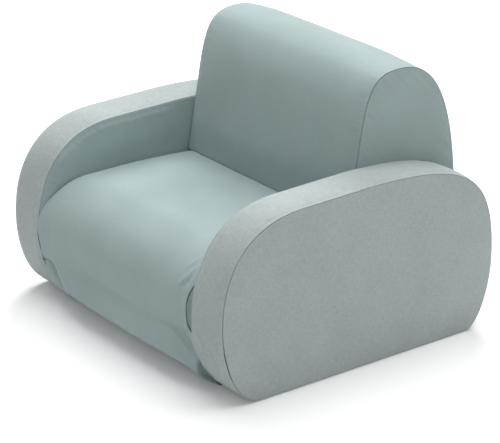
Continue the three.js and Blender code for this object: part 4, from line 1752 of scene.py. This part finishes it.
class ARMCHAIR_OT_studio(bpy.types.Operator):
    """Make the floor, the lamps and the camera"""

    bl_idname = "armchair.studio"
    bl_label = "Studio"

    def execute(self, context):
        scene = context.scene
        scene.view_settings.view_transform = "Standard"
        make_world(WORLD_STRENGTH)
        make_floor(FLOOR_SIZE, FLOOR_LEVEL, FLOOR_GLOW)
        for lamp in LAMPS:
            make_lamp(*lamp)
        make_camera(scene.armchair_sizes)
        return {"FINISHED"}


class ARMCHAIR_OT_arms(bpy.types.Operator):
    """Make the covers of both arms"""

    bl_idname = "armchair.arms"
    bl_label = "Arm covers"

    def execute(self, context):
        sizes = context.scene.armchair_sizes
        fabrics = fabrics_of(context)
        make_arm("left", 1, sizes, seed=11, fabrics=fabrics)
        make_arm("right", -1, sizes, seed=21, fabrics=fabrics)
        return {"FINISHED"}


class ARMCHAIR_OT_seat(bpy.types.Operator):
    """Make the seat cover"""

    bl_idname = "armchair.seat"
    bl_label = "Seat cover"

    def execute(self, context):
        make_seat(context.scene.armchair_sizes, fabrics_of(context))
        return {"FINISHED"}


class ARMCHAIR_OT_back(bpy.types.Operator):
    """Make the back cover and the back's side panels"""

    bl_idname = "armchair.back"
    bl_label = "Back covers"

    def execute(self, context):
        make_back(context.scene.armchair_sizes, fabrics_of(context))
        return {"FINISHED"}


class ARMCHAIR_OT_sides(bpy.types.Operator):
    """Make the seat's side panels, the rear panel and the underside"""

    bl_idname = "armchair.sides"
    bl_label = "Side, rear and base panels"

    def execute(self, context):
        make_sides(fabrics_of(context))
        return {"FINISHED"}


class ARMCHAIR_OT_foam(bpy.types.Operator):
    """Make the foam blocks inside the covers"""

    bl_idname = "armchair.foam"
    bl_label = "Foam blocks"

    def execute(self, context):
        foam = finish_of("foam", foam_finish)
        for node in ("seat_foam", "back_foam", "left_arm_foam", "right_arm_foam"):
            make_foam(node, foam)
        return {"FINISHED"}


class ARMCHAIR_OT_zips(bpy.types.Operator):
    """Make the three zips and the stitching beside them"""

    bl_idname = "armchair.zips"
    bl_label = "Zips"

    def execute(self, context):
        metal = finish_of("metal", metal_finish)
        tape = finish_of("tape", tape_finish)
        coil = finish_of("coil", coil_finish)
        thread = finish_of("thread", thread_finish)
        for name in ("left_arm", "right_arm", "rear"):
            make_zip(name, metal, tape, coil, thread)
        return {"FINISHED"}


class ARMCHAIR_OT_tacks(bpy.types.Operator):
    """Make the thread tacks low on the arms' front seams"""

    bl_idname = "armchair.tacks"
    bl_label = "Thread tacks"

    def execute(self, context):
        thread = finish_of("thread", thread_finish)
        make_tack("left", 1, thread)
        make_tack("right", -1, thread)
        return {"FINISHED"}


class ARMCHAIR_PT_panel(bpy.types.Panel):
    """The armchair's pieces, in the order in which they are made"""

    bl_idname = "ARMCHAIR_PT_panel"
    bl_label = "Armchair"
    bl_space_type = "VIEW_3D"
    bl_region_type = "UI"
    bl_category = "Armchair"

    def draw(self, context):
        for step in STEPS:
            self.layout.operator(step.bl_idname)


STEPS = (
    ARMCHAIR_OT_studio,
    ARMCHAIR_OT_arms,
    ARMCHAIR_OT_seat,
    ARMCHAIR_OT_back,
    ARMCHAIR_OT_sides,
    ARMCHAIR_OT_foam,
    ARMCHAIR_OT_zips,
    ARMCHAIR_OT_tacks,
)
CLASSES = (ArmchairSizes, ArmchairColours, *STEPS, ARMCHAIR_PT_panel)


def register():
    for made in CLASSES:
        bpy.utils.register_class(made)
    bpy.types.Scene.armchair_sizes = bpy.props.PointerProperty(type=ArmchairSizes)
    bpy.types.Scene.armchair_colours = bpy.props.PointerProperty(type=ArmchairColours)


def unregister():
    del bpy.types.Scene.armchair_sizes
    del bpy.types.Scene.armchair_colours
    for made in reversed(CLASSES):
        bpy.utils.unregister_class(made)


def main():
    register()
    bpy.ops.armchair.studio()
    bpy.ops.armchair.arms()
    bpy.ops.armchair.seat()
    bpy.ops.armchair.back()
    bpy.ops.armchair.sides()
    bpy.ops.armchair.foam()
    bpy.ops.armchair.zips()
    bpy.ops.armchair.tacks()


if __name__ == "__main__":
    main()
